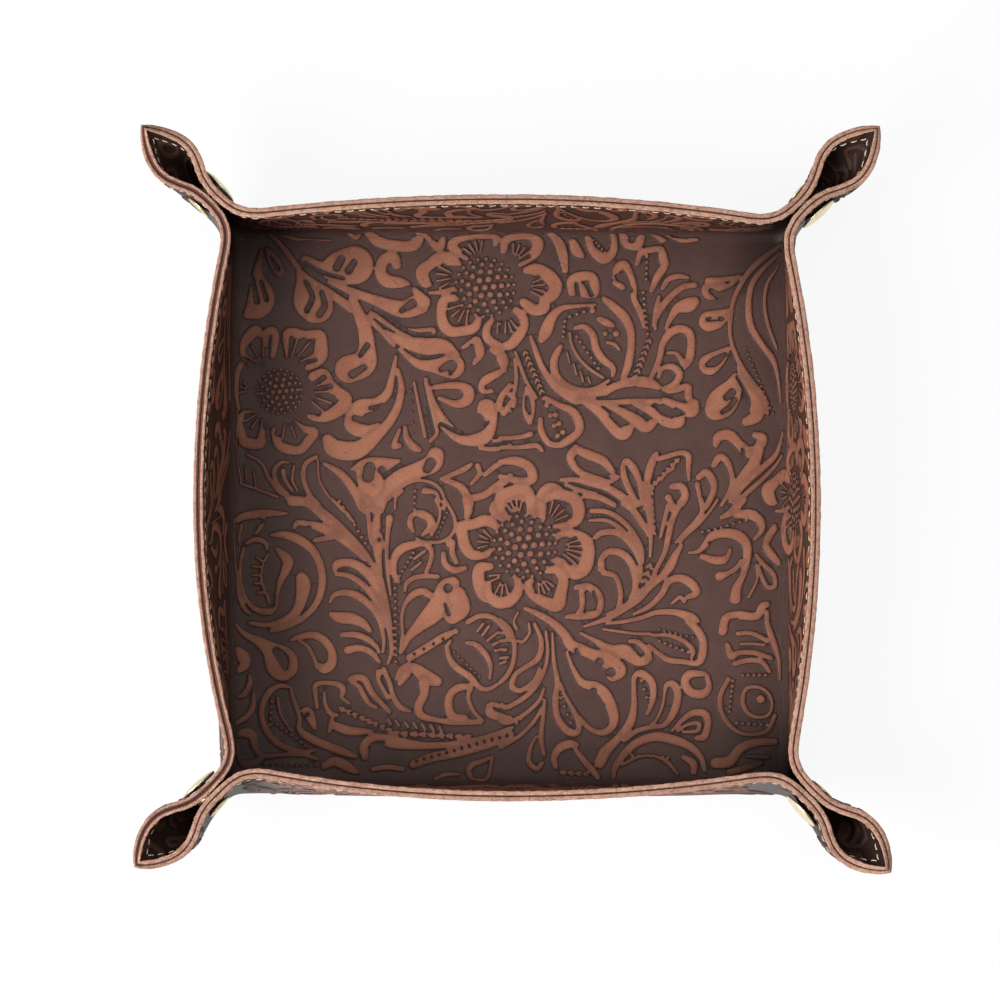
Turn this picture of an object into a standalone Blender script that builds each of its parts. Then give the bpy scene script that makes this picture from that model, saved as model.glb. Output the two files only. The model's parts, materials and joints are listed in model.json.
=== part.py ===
"""Leather tray with snapped corners: a square double sheet folded up into four walls and four looped ears."""

import math

import bmesh
import bpy
import numpy as np
from mathutils import Vector
from mathutils.geometry import delaunay_2d_cdt

# Driving dimensions, in metres and radians.
floor_half = 0.103
wall_flat = 0.047
layer_thickness = 0.0017
layer_gap = 0.0003
contact_gap = 0.0003
crease_reach = 0.006
corner_bend = 0.016
# How far round from the pinch the two halves of an ear touch: at the snap, and at the rim of the back right,
# back left, front left and front right corners in turn. The ears begin to flare just over the snap's middle.
snap_contact_arc = math.radians(18.0)
rim_contact_arcs = [math.radians(angle) for angle in (9.0, 8.5, 12.5, 12.5)]
flare_start = 0.0365
# Half the angle of an ear's tip, at the snap's height and at the rim.
loop_end_angles = (math.radians(70.0), math.radians(57.0))
# Leans from upright, for the same four corners in turn.
pinch_leans = [math.radians(angle) for angle in (0.2, 3.6, -1.6, 0.6)]
ear_leans = [math.radians(angle) for angle in (36.0, 35.5, 35.5, 38.5)]
# How far the middle of a wall's rim stands out past its crease, for the right, back, left and front walls.
rim_leans = (0.0044, 0.0022, 0.0066, 0.0024)
panel_clearance = 0.0004
floor_chamfer = 0.008
apex_cut = 0.014
snap_drop = 0.0117
snap_inset = 0.0065
cap_radius = 0.00725
cap_height = 0.0021
cap_lift = 0.002
post_flange_radius = 0.00475
post_flange_height = 0.0009
post_lift = 0.0009
shank_radius = 0.0015
socket_radius = 0.0046
socket_bore = 0.0023
socket_web = 0.0003
stud_base_radius = 0.0036
stud_base_height = 0.0006
stud_neck_radius = 0.00125
stud_head_radius = 0.0017
seat_clearance = 0.0003
hole_clearance = 0.0005
stitch_inset = 0.004
thread_width = 0.0009
thread_height = 0.0005
thread_lift = 0.0004
thread_end_margin = 0.004
ear_thread_start = 0.018
ear_thread_end = 0.0405

# Where each panel is divided, and how each turned piece is shaped, as shares of its own size.
loop_handle_shares = (0.30, 0.20)
loop_crown_shares = (1.30, 0.73)
crease_row_shares = (0.36, 0.73, 1.1)
floor_column_shares = (0.0, 0.25, 0.5, 0.75, 0.9, 0.97)
floor_edge_shares = (0.0, 0.25, 0.5, 0.75, 0.9)
wall_row_shares = (0.0, 0.04, 0.09, 0.145, 0.5, 0.86, 1.0)
wall_column_shares = (0.0, 0.15, 0.3, 0.45, 0.6, 0.72, 0.81, 0.86, 0.9, 0.94, 0.975, 1.0)
wall_foot_shares = ((0.0, 1.0), (0.5, 0.35), (1.4, 0.0))
wall_side_share = 1.6
ear_row_shares = (0.0, 0.22, 0.48, 0.74, 0.9, 1.0)
ear_ray_shares = (0.0, 0.1, 0.2, 0.3, 0.38, 0.46, 0.53, 0.6, 0.66, 0.72, 0.78, 0.83, 0.88, 0.94, 1.0)
ridge_cut_share = 0.42
hole_margin_share = 1.25
pinch_hinge_share = 0.3
cap_foot_share = 0.965
cap_dome_shares = ((1.0, 0.18), (0.97, 0.4), (0.85, 0.66), (0.62, 0.86), (0.32, 0.97))
post_flange_shares = ((0.96, 0.0), (1.0, 0.4), (0.8, 1.0), (0.32, 0.8), (0.22, 0.0))
stud_head_shares = ((0.74, 0.45), (1.0, 0.66), (1.0, 0.82), (0.75, 1.0))
socket_lip_share = 0.7

loop_samples = 200
bow_rounds = 8
table_steps = 330
window = 13
lathe_segments = 16
hole_segments = 12

half_thickness = layer_thickness + layer_gap / 2
half_spacing = half_thickness + contact_gap / 2
sheet_half = floor_half + wall_flat
quarter = math.pi / 4
full_turn = 2 * math.pi
low_edge = floor_half + panel_clearance
high_edge = floor_half - panel_clearance
stitch_row = sheet_half - stitch_inset
lining_heights = (layer_gap / 2, half_thickness)
outer_heights = (-half_thickness, -layer_gap / 2)
sides = ("right", "back", "left", "front")
corner_of = {
    ("right", False): "back_right",
    ("right", True): "front_right",
    ("back", False): "back_left",
    ("back", True): "back_right",
    ("left", False): "front_left",
    ("left", True): "back_left",
    ("front", False): "front_right",
    ("front", True): "front_left",
}


def smooth_step(x):
    x = np.clip(x, 0, 1)
    return x * x * (3 - 2 * x)


def running_sum(values, step):
    """Integral of sampled values, from zero at the first."""
    return np.concatenate([[0], np.cumsum((values[1:] + values[:-1]) / 2 * step)])


def ear_curves(pinch_lean, ear_lean, contact_arc, level):
    """Angle from vertical, angle off the diagonal plane and share of the apex shift, against the flat angle."""
    t = np.linspace(0, 1, loop_samples)
    crown_x = 1 - loop_crown_shares[level] * math.cos(loop_end_angles[level])
    crown_y = loop_crown_shares[level] * math.sin(loop_end_angles[level])
    x = 3 * t * (1 - t) ** 2 * loop_handle_shares[level] + 3 * t**2 * (1 - t) * crown_x + t**3
    y = 3 * t**2 * (1 - t) * crown_y
    span = ear_lean - pinch_lean - contact_arc
    run = np.concatenate([[0], np.cumsum(np.hypot(np.diff(x), np.diff(y)))])
    flat_angle = contact_arc + (quarter - contact_arc) * run / run[-1]
    lean = pinch_lean + contact_arc + span * x
    shift = np.sqrt(1 - t**2)
    start = np.zeros(1)
    return (
        np.concatenate([start, flat_angle]),
        np.concatenate([start + pinch_lean, lean]),
        np.concatenate([start, span * y]),
        np.concatenate([start + 1, shift]),
    )


def rim_curve(rim_lean, pinch_lean):
    """Where the rim of half a wall runs, from its middle to the pinch, for flat places along the wall."""
    s = np.linspace(0, floor_half, table_steps)
    step = s[1] - s[0]
    bend = smooth_step((s - floor_half + corner_bend) / corner_bend)
    reach = wall_flat * math.sin(pinch_lean) / math.sqrt(2)
    bow = 0.0
    for _ in range(bow_rounds):
        turn = (quarter + bow) * bend - bow * s / floor_half
        out = running_sum(np.sin(turn), step)
        bow += 2 * (out[-1] - reach + rim_lean) / floor_half
    along = running_sum(np.cos(turn), step)
    out += floor_half + rim_lean
    along *= (floor_half - math.sqrt(2) * half_spacing + reach) / along[-1]
    foot = s - math.sqrt(2) * half_spacing * bend
    up = np.sqrt(wall_flat**2 - (out - floor_half) ** 2 - (along - foot) ** 2)
    return s, out, along, up, foot


def sharp_fold(u, v):
    """Middle of the folded sheet with sharp creases, for flat places u, v."""
    on_side = np.abs(u) >= np.abs(v)
    p = np.where(on_side, np.abs(u), np.abs(v))
    q = np.where(on_side, v, u)
    s = np.abs(q)
    drop = np.maximum(p - floor_half, 0)
    share = drop / wall_flat
    over = np.maximum(s - floor_half, 0)
    radius = np.hypot(drop, over)
    angle = np.arctan2(over, np.maximum(drop, over))
    corner = np.where(u >= 0, np.where(v >= 0, 0, 3), np.where(v >= 0, 1, 2))
    side = np.where(on_side, np.where(u >= 0, 0, 2), np.where(v >= 0, 1, 3))
    out, along, up = p.copy(), s.copy(), np.zeros_like(p)
    raised = p > floor_half
    for i, (pinch_lean, ear_lean) in enumerate(zip(pinch_leans, ear_leans, strict=True)):
        here = raised & (corner == i) & (over > 0)
        flare = smooth_step((drop[here] - flare_start) / (wall_flat - flare_start))
        low_angles, *low_columns = ear_curves(pinch_lean, ear_lean, snap_contact_arc, 0)
        rim_angles, *rim_columns = ear_curves(pinch_lean, ear_lean, rim_contact_arcs[i], 1)
        lean, off, shift = (
            (1 - flare) * np.interp(angle[here], low_angles, low) + flare * np.interp(angle[here], rim_angles, rim)
            for low, rim in zip(low_columns, rim_columns, strict=True)
        )
        diagonal = radius[here] * np.cos(off) * np.sin(lean) / math.sqrt(2)
        aside = radius[here] * np.sin(off) / math.sqrt(2)
        out[here] = floor_half + diagonal + aside
        along[here] = floor_half - shift * math.sqrt(2) * half_spacing + diagonal - aside
        up[here] = radius[here] * np.cos(off) * np.cos(lean)
        for j, rim_lean in enumerate(rim_leans):
            here = raised & (corner == i) & (side == j) & (over == 0)
            if here.any():
                place_table, *columns = rim_curve(rim_lean, pinch_lean)
                rim_out, rim_along, rim_up, foot = (np.interp(s[here], place_table, column) for column in columns)
                out[here] = floor_half + share[here] * (rim_out - floor_half)
                along[here] = foot + share[here] * (rim_along - foot)
                up[here] = share[here] * rim_up
    along = along * np.where(q < 0, -1, 1)
    x = np.where(on_side, np.sign(u) * out, along)
    y = np.where(on_side, along, np.sign(v) * out)
    return np.stack([x, y, up], axis=-1)


def box_average(grid, count, axis):
    """Mean over a window of places along one axis, which rounds the creases."""
    total = np.cumsum(grid, axis=axis)
    size = grid.shape[axis]
    high = np.take(total, np.arange(count, size), axis=axis)
    low = np.take(total, np.arange(size - count), axis=axis)
    return (high - low) / count


# Tables of the folded middle surface and its normal over the flat sheet.
table_step = 2 * crease_reach / window
table_count = 2 * math.ceil((sheet_half + 2 * table_step) / table_step) + 1
table_half = (table_count - 1) / 2 * table_step
wide = np.linspace(-1, 1, table_count + window - 1) * (table_half + (window - 1) / 2 * table_step)
sharp = sharp_fold(*np.meshgrid(wide, wide, indexing="ij"))
padded = np.pad(sharp, ((1, 0), (1, 0), (0, 0)))
middle_table = box_average(box_average(padded, window, 0), window, 1)
along_u, along_v = np.gradient(middle_table, axis=(0, 1))
normal_table = np.cross(along_u, along_v)
normal_table /= np.linalg.norm(normal_table, axis=-1, keepdims=True)
middle_table[..., 2] += half_thickness


def look_up(table, places):
    """Value of a table at flat places."""
    i, j = np.moveaxis((places + table_half) / table_step, -1, 0)
    i0 = np.clip(np.floor(i).astype(int), 0, table.shape[0] - 2)
    j0 = np.clip(np.floor(j).astype(int), 0, table.shape[1] - 2)
    a = (i - i0)[..., None]
    b = (j - j0)[..., None]
    near = table[i0, j0] * (1 - b) + table[i0, j0 + 1] * b
    far = table[i0 + 1, j0] * (1 - b) + table[i0 + 1, j0 + 1] * b
    return near * (1 - a) + far * a


def folded(places, height):
    """Points of the tray at flat places and a height off the glued middle, positive on the lining's side."""
    places = np.asarray(places, float)
    normal = look_up(normal_table, places)
    normal /= np.linalg.norm(normal, axis=-1, keepdims=True)
    return look_up(middle_table, places) + normal * height


def turned(places, side, mirrored):
    """Flat places given for the right wall and its back end, moved to another wall or mirrored to its front end."""
    places = np.array(places, float).reshape(-1, 2)
    p, q = places[:, 0], places[:, 1] * (-1 if mirrored else 1)
    x, y = {"right": (p, q), "back": (-q, p), "left": (-p, -q), "front": (q, -p)}[side]
    moved = np.stack([x, y], axis=-1)
    return moved[::-1] if mirrored else moved


def plain_material(name, colour, roughness, metallic):
    material = bpy.data.materials.new(name)
    material.use_nodes = True
    shader = material.node_tree.nodes["Principled BSDF"]
    shader.inputs["Base Color"].default_value = colour
    shader.inputs["Roughness"].default_value = roughness
    shader.inputs["Metallic"].default_value = metallic
    return material


def joint_empty(name, place, parent):
    """Empty on a joint's axis. Its location is kept relative to its parent's."""
    empty = bpy.data.objects.new(name, None)
    bpy.context.scene.collection.objects.link(empty)
    empty.empty_display_size = cap_radius
    empty.parent = parent
    empty.location = Vector(place) - Vector(world_place[parent.name] if parent else (0, 0, 0))
    world_place[name] = tuple(place)
    return empty


def add_part(name, points, faces, material, joint):
    """Closed mesh object with its origin on its joint."""
    base = np.array(world_place[joint.name] if joint else (0, 0, 0))
    mesh = bpy.data.meshes.new(name)
    mesh.from_pydata([tuple(point) for point in np.asarray(points) - base], [], faces)
    mesh.validate()
    solid = bmesh.new()
    solid.from_mesh(mesh)
    bmesh.ops.recalc_face_normals(solid, faces=solid.faces)
    solid.to_mesh(mesh)
    solid.free()
    mesh.materials.append(material)
    part = bpy.data.objects.new(name, mesh)
    bpy.context.scene.collection.objects.link(part)
    part.parent = joint
    return part


def inside(points, loop):
    """Which points lie inside a closed loop of flat places."""
    x, y = points[:, 0], points[:, 1]
    found = np.zeros(len(points), bool)
    for (x0, y0), (x1, y1) in zip(loop, np.roll(loop, -1, axis=0), strict=True):
        if y0 != y1:
            crosses = (y0 > y) != (y1 > y)
            found ^= crosses & (x < x0 + (y - y0) * (x1 - x0) / (y1 - y0))
    return found


def panel(name, outline, holes, marks, inner_places, heights, material, joint):
    """Slab of leather over a flat outline, folded to shape. Marks are loops that its mesh follows uncut."""
    loops = [np.array(loop) for loop in (outline, *holes, *marks)]
    cut = loops[1 : len(holes) + 1]
    kept = np.array(inner_places).reshape(-1, 2)
    kept = kept[inside(kept, loops[0])]
    for loop in loops[1:]:
        kept = kept[~inside(kept, loop)]
    places = [Vector(place) for loop in loops for place in loop] + [Vector(place) for place in kept]
    edges = []
    start = 0
    for loop in loops:
        edges += [(start + i, start + (i + 1) % len(loop)) for i in range(len(loop))]
        start += len(loop)
    verts, _, faces, *_ = delaunay_2d_cdt(places, edges, [], 0, 1e-9, False)
    flat = np.array([tuple(vert) for vert in verts])
    middles = np.array([flat[list(face)].mean(axis=0) for face in faces])
    keep = inside(middles, loops[0])
    for loop in cut:
        keep &= ~inside(middles, loop)
    faces = [tuple(face) for face, ok in zip(faces, keep, strict=True) if ok]
    count = len(flat)
    low, high = heights
    points = np.concatenate([folded(flat, high), folded(flat, low)])
    used = {edge for face in faces for edge in zip(face, face[1:] + face[:1], strict=True)}
    solid = faces + [tuple(i + count for i in reversed(face)) for face in faces]
    solid += [(a, a + count, b + count, b) for a, b in sorted(used) if (b, a) not in used]
    return add_part(name, points, solid, material, joint)


def lathe(name, profile, origin, axis, material, joint):
    """Closed solid of revolution of a profile of radius and height, both ends of which lie on the axis."""
    axis = axis / np.linalg.norm(axis)
    first = np.cross((0, 0, 1), axis)
    first /= np.linalg.norm(first)
    second = np.cross(axis, first)
    points = [origin + axis * profile[0][1]]
    for radius, height in profile[1:-1]:
        for i in range(lathe_segments):
            turn = full_turn * i / lathe_segments
            points.append(origin + axis * height + radius * (math.cos(turn) * first + math.sin(turn) * second))
    points.append(origin + axis * profile[-1][1])
    last = len(points) - 1 - lathe_segments
    faces = []
    for i in range(lathe_segments):
        j = (i + 1) % lathe_segments
        faces.append((0, 1 + j, 1 + i))
        for a in range(1, last, lathe_segments):
            b = a + lathe_segments
            faces.append((a + i, a + j, b + j, b + i))
        faces.append((len(points) - 1, last + i, last + j))
    return add_part(name, points, faces, material, joint)


def thread_run(name, stations, side, mirrored, joint):
    """Closed loop of thread: along the lining, through both layers, back along the outside and through again."""
    inner = half_thickness + thread_lift
    outer = inner + thread_height
    first, *between, last = stations
    points = []
    for place in (first, first + thread_height, *between, last - thread_height, last):
        for row in (stitch_row - thread_width / 2, stitch_row + thread_width / 2):
            flat = turned([(row, place)], side, mirrored)[0]
            points += [folded(flat, height) for height in (-outer, -inner, inner, outer)]
    spans = len(between) + 3
    faces = []
    for i in range(spans):
        a = i * 8
        b = a + 8
        for low, high in ((0, 3),) if i in (0, spans - 1) else ((0, 1), (2, 3)):
            for k in range(low, high):
                faces.append((a + k, a + k + 1, b + k + 1, b + k))
                faces.append((a + k + 5, a + k + 4, b + k + 4, b + k + 5))
            faces.append((b + low, b + low + 4, a + low + 4, a + low))
            faces.append((a + high, a + high + 4, b + high + 4, b + high))
    end = spans * 8
    for k in range(3):
        faces.append((k, k + 4, k + 5, k + 1))
        faces.append((end + k, end + k + 1, end + k + 5, end + k + 4))
    for leg in (8, end - 8):
        faces.append((leg + 1, leg + 5, leg + 6, leg + 2))
    return add_part(name, points, faces, thread_material, joint)


def ring(centre, radius):
    """Round hole in the flat sheet."""
    turns = [full_turn * i / hole_segments for i in range(hole_segments)]
    return [(centre[0] + radius * math.cos(turn), centre[1] + radius * math.sin(turn)) for turn in turns]


def thread_hole(place):
    """Square hole for a leg of thread."""
    half = thread_width / 2 + seat_clearance
    signs = ((-1, -1), (1, -1), (1, 1), (-1, 1))
    return [(stitch_row + half * a, place + half * b) for a, b in signs]


def ear_layout():
    """Flat border of half an ear, the places inside it and the angles of its rays."""
    angles = [share * quarter for share in ear_ray_shares]
    reaches = [wall_flat / math.cos(angle) for angle in angles]
    nearest = [apex_cut * (1 + ridge_cut_share * share**2) for share in ear_ray_shares]
    cut = [(floor_half + r * math.cos(a), floor_half + r * math.sin(a)) for r, a in zip(nearest, angles, strict=True)]
    rim = [(sheet_half, floor_half + r * math.sin(a)) for r, a in zip(reaches, angles, strict=True)]
    cut[0] = (cut[0][0], low_edge)
    rim[0] = (sheet_half, low_edge)
    ridge_gap = panel_clearance * math.sqrt(2)
    cut[-1] = (cut[-1][0] + ridge_gap / 2, cut[-1][1] - ridge_gap / 2)
    rim[-1] = (sheet_half, sheet_half - ridge_gap)
    middle_shares = ear_row_shares[1:-1]
    pinch = [(cut[0][0] + (sheet_half - cut[0][0]) * share, low_edge) for share in middle_shares]
    foot, tip = np.array(cut[-1]), np.array(rim[-1])
    ridge = [tuple(tip + (foot - tip) * (1 - share)) for share in reversed(middle_shares)]
    between = []
    for angle, reach, near in list(zip(angles, reaches, nearest, strict=True))[1:-1]:
        for share in middle_shares:
            radius = near + (reach - near) * share
            between.append((floor_half + radius * math.cos(angle), floor_half + radius * math.sin(angle)))
    return pinch + rim + ridge + cut[::-1], between, angles


for old in list(bpy.data.objects):
    bpy.data.objects.remove(old, do_unlink=True)
world_place = {}

lining_material = plain_material("lining_leather", (0.12, 0.052, 0.036, 1), 0.55, 0)
outer_material = plain_material("outer_leather", (0.21, 0.105, 0.075, 1), 0.6, 0)
thread_material = plain_material("thread", (0.75, 0.64, 0.44, 1), 0.7, 0)
cap_material = plain_material("cap_brass", (0.76, 0.66, 0.40, 1), 0.3, 1)
socket_material = plain_material("socket_brass", (0.57, 0.45, 0.22, 1), 0.35, 1)
stud_material = plain_material("stud_brass", (0.60, 0.49, 0.24, 1), 0.35, 1)
post_material = plain_material("post_brass", (0.67, 0.55, 0.30, 1), 0.3, 1)

# Floor, with its edges turned up to the middle of each crease.
edge_end = high_edge - floor_chamfer
edge_places = [floor_half * share for share in floor_edge_shares if floor_half * share < edge_end] + [edge_end]
floor_edge = [(high_edge, -q) for q in reversed(edge_places[1:])] + [(high_edge, q) for q in edge_places]
floor_outline = np.concatenate([turned(floor_edge, side, False) for side in sides])
floor_places = []
for share in crease_row_shares:
    row = high_edge - share * crease_reach
    for column in floor_column_shares:
        floor_places += [(row, row * column), (row, -row * column)]
floor_places = np.concatenate([turned(floor_places, side, False) for side in sides])
floor_places = np.unique(floor_places.round(7), axis=0)
panel("lining_floor", floor_outline, [], [], floor_places, lining_heights, lining_material, None)
panel("outer_floor", floor_outline, [], [], floor_places, outer_heights, outer_material, None)

wall_rows = [low_edge + share * (sheet_half - low_edge) for share in wall_row_shares]
wall_columns = [share * high_edge for share in wall_column_shares]
ear_border, ear_places, ear_angles = ear_layout()
snap_place = (sheet_half - snap_drop, floor_half + snap_inset)

for side in sides:
    crease = turned([(floor_half, 0)], side, False)[0]
    fold_joint = joint_empty(f"fold_{side}", folded(crease, -half_thickness), None)

    # Wall, from the middle of its crease to the rim.
    half = [(low_edge, q) for q in wall_columns if q < edge_end]
    half += [(low_edge + floor_chamfer * up, high_edge - floor_chamfer * back) for up, back in wall_foot_shares]
    half += [(p, high_edge) for p in wall_rows if p > low_edge + floor_chamfer * wall_side_share]
    half += [(sheet_half, q) for q in reversed(wall_columns[:-1])]
    outline = turned(half + [(p, -q) for p, q in reversed(half[1:-1])], side, False)
    wall_places = [(p, q) for p in wall_rows[1:-1] for q in wall_columns[:-1]]
    wall_places = [(p, q) for p, q in wall_places if q < edge_end or p > low_edge + floor_chamfer]
    wall_places += [(p, -q) for p, q in wall_places if q > 0]
    wall_places = turned(wall_places, side, False)
    thread_end = high_edge - thread_end_margin
    leg = thread_end - thread_height / 2
    holes = [turned(thread_hole(place), side, False) for place in (leg, -leg)]
    for layer, heights, material in (
        ("lining", lining_heights, lining_material),
        ("outer", outer_heights, outer_material),
    ):
        panel(f"{layer}_wall_{side}", outline, holes, [], wall_places, heights, material, fold_joint)
    along_run = [q for q in wall_columns if q < thread_end - 2 * thread_height]
    stations = [-thread_end, *[-q for q in reversed(along_run[1:])], *along_run, thread_end]
    thread_run(f"thread_wall_{side}", stations, side, False, fold_joint)

    for mirrored in (False, True):
        corner = corner_of[(side, mirrored)]
        name = f"{corner}_{side}"
        pinch = turned([(floor_half + wall_flat * pinch_hinge_share, floor_half)], side, mirrored)[0]
        ear_joint = joint_empty(f"ear_{name}", folded(pinch, half_thickness), fold_joint)

        # Half an ear, with a wide hole in the lining and a tight one in the outer leather for the snap.
        recess = (stud_base_radius if mirrored else socket_radius) + hole_clearance
        wide_hole = turned(ring(snap_place, recess), side, mirrored)
        tight_hole = turned(ring(snap_place, shank_radius + hole_clearance), side, mirrored)
        legs = (ear_thread_start + thread_height / 2, ear_thread_end - thread_height / 2)
        holes = [turned(thread_hole(floor_half + leg), side, mirrored) for leg in legs]
        border = turned(ear_border, side, mirrored)
        clear = [place for place in ear_places if math.dist(place, snap_place) > recess * hole_margin_share]
        between = turned(clear, side, mirrored)
        lining_holes = [wide_hole, *holes]
        outer_holes = [tight_hole, *holes]
        panel(f"lining_ear_{name}", border, lining_holes, [], between, lining_heights, lining_material, ear_joint)
        panel(f"outer_ear_{name}", border, outer_holes, [wide_hole], between, outer_heights, outer_material, ear_joint)
        crossings = [(stitch_row - floor_half) * math.tan(angle) for angle in ear_angles]
        low_end = ear_thread_start + 2 * thread_height
        high_end = ear_thread_end - 2 * thread_height
        run = [ear_thread_start, *[place for place in crossings if low_end < place < high_end], ear_thread_end]
        thread_run(f"thread_ear_{name}", [floor_half + place for place in run], side, mirrored, ear_joint)

        # Half a snap, on an axis square to the leather. Heights are measured from the glued middle.
        place = turned([snap_place], side, mirrored)[0]
        centre = folded(place, 0)
        inward = folded(place, half_thickness) - centre
        if mirrored:
            base = half_thickness + post_lift
            profile = [(0, 0), (shank_radius, 0), (shank_radius, base)]
            for width, height in post_flange_shares:
                profile.append((post_flange_radius * width, base + post_flange_height * height))
            profile.append((0, base))
            lathe(f"snap_post_{corner}", profile, centre, -inward, post_material, ear_joint)
            shoulder = seat_clearance + stud_base_height
            tip = 2 * half_spacing - seat_clearance - socket_web - seat_clearance
            profile = [(0, seat_clearance), (stud_base_radius, seat_clearance), (stud_base_radius, shoulder)]
            profile.append((stud_neck_radius, shoulder))
            for width, height in stud_head_shares:
                profile.append((stud_head_radius * width, shoulder + (tip - shoulder) * height))
            profile.append((0, tip))
            lathe(f"snap_stud_{corner}", profile, centre, inward, stud_material, ear_joint)
        else:
            base = half_thickness + cap_lift
            profile = [(0, 0), (shank_radius, 0), (shank_radius, base), (cap_radius * cap_foot_share, base)]
            for width, height in cap_dome_shares:
                profile.append((cap_radius * width, base + cap_height * height))
            profile.append((0, base + cap_height))
            lathe(f"snap_cap_{corner}", profile, centre, -inward, cap_material, ear_joint)
            web = seat_clearance + socket_web
            profile = [(0, web), (socket_bore, web), (socket_bore, half_thickness)]
            profile += [(socket_radius * socket_lip_share, half_thickness), (socket_radius, half_thickness - socket_web)]
            profile += [(socket_radius, seat_clearance), (0, seat_clearance)]
            lathe(f"snap_socket_{corner}", profile, centre, inward, socket_material, ear_joint)

# The origin goes under the middle of the whole tray.
bpy.context.view_layer.update()
parts = [thing for thing in bpy.context.scene.objects if thing.type == "MESH"]
spots = np.array([part.matrix_world @ vertex.co for part in parts for vertex in part.data.vertices])
offset = (spots.min(axis=0) + spots.max(axis=0)) / 2
offset[2] = spots[:, 2].min()
for thing in bpy.context.scene.objects:
    if thing.parent is None:
        thing.location -= Vector(offset)
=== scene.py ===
"""Looks of the leather tray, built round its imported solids."""

import json
import math

import bpy
import numpy as np
from mathutils import Matrix, Vector
from mathutils.geometry import delaunay_2d_cdt
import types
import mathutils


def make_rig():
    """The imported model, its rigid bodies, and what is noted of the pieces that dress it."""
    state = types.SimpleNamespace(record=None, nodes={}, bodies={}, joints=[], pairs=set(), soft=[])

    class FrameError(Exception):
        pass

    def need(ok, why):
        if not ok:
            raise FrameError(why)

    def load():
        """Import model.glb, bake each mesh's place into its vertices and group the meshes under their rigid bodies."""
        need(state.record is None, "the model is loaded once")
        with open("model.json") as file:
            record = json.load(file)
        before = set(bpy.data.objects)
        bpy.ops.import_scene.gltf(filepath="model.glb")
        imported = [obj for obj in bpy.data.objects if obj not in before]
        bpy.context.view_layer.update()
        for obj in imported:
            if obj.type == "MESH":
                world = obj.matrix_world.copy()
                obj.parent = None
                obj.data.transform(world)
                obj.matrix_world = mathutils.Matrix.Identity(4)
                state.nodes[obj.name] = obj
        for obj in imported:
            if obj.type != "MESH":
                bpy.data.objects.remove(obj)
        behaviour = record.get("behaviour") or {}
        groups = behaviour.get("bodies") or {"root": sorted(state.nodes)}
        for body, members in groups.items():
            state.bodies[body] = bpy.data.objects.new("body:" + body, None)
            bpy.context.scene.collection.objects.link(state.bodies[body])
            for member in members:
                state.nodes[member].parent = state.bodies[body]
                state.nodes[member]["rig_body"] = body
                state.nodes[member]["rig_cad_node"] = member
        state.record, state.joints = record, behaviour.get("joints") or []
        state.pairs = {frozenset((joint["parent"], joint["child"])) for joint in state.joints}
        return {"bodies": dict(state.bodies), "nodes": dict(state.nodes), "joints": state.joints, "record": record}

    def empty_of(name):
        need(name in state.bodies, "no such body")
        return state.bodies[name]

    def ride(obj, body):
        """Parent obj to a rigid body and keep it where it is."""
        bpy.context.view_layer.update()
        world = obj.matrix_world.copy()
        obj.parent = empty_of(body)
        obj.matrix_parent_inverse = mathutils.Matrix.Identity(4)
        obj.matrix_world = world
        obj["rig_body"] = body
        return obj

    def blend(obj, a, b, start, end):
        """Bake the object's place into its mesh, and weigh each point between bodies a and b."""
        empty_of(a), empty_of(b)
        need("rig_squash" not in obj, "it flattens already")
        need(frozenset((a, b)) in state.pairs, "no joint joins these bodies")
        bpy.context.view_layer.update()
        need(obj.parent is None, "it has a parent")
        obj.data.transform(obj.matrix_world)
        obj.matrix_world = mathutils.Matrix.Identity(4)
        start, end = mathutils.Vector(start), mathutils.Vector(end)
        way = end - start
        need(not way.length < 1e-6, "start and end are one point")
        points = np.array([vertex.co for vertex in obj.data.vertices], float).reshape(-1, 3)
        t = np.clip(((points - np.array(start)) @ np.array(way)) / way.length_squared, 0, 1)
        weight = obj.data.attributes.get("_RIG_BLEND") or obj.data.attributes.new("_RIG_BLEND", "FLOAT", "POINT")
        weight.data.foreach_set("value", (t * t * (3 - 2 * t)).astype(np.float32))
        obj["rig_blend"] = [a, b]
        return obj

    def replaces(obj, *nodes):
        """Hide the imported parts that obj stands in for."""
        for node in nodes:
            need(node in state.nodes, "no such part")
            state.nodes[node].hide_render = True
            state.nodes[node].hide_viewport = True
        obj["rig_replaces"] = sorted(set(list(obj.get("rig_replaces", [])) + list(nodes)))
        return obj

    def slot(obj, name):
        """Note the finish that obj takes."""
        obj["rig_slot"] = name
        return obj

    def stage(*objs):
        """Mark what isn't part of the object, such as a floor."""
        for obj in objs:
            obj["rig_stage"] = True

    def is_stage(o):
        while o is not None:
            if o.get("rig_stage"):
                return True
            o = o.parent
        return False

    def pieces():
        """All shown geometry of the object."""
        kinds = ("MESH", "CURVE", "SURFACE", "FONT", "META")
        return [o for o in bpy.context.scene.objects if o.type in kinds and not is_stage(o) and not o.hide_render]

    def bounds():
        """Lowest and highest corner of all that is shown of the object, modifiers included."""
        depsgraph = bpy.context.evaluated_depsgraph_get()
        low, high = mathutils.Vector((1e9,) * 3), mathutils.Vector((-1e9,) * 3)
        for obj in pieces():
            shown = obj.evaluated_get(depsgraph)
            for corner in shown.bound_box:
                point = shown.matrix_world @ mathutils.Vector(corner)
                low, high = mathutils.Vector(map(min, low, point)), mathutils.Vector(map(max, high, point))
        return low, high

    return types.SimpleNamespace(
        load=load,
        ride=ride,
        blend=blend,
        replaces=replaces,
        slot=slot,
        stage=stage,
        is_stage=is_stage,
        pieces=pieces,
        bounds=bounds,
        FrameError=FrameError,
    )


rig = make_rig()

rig.load()
cad_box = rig.bounds()

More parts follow.
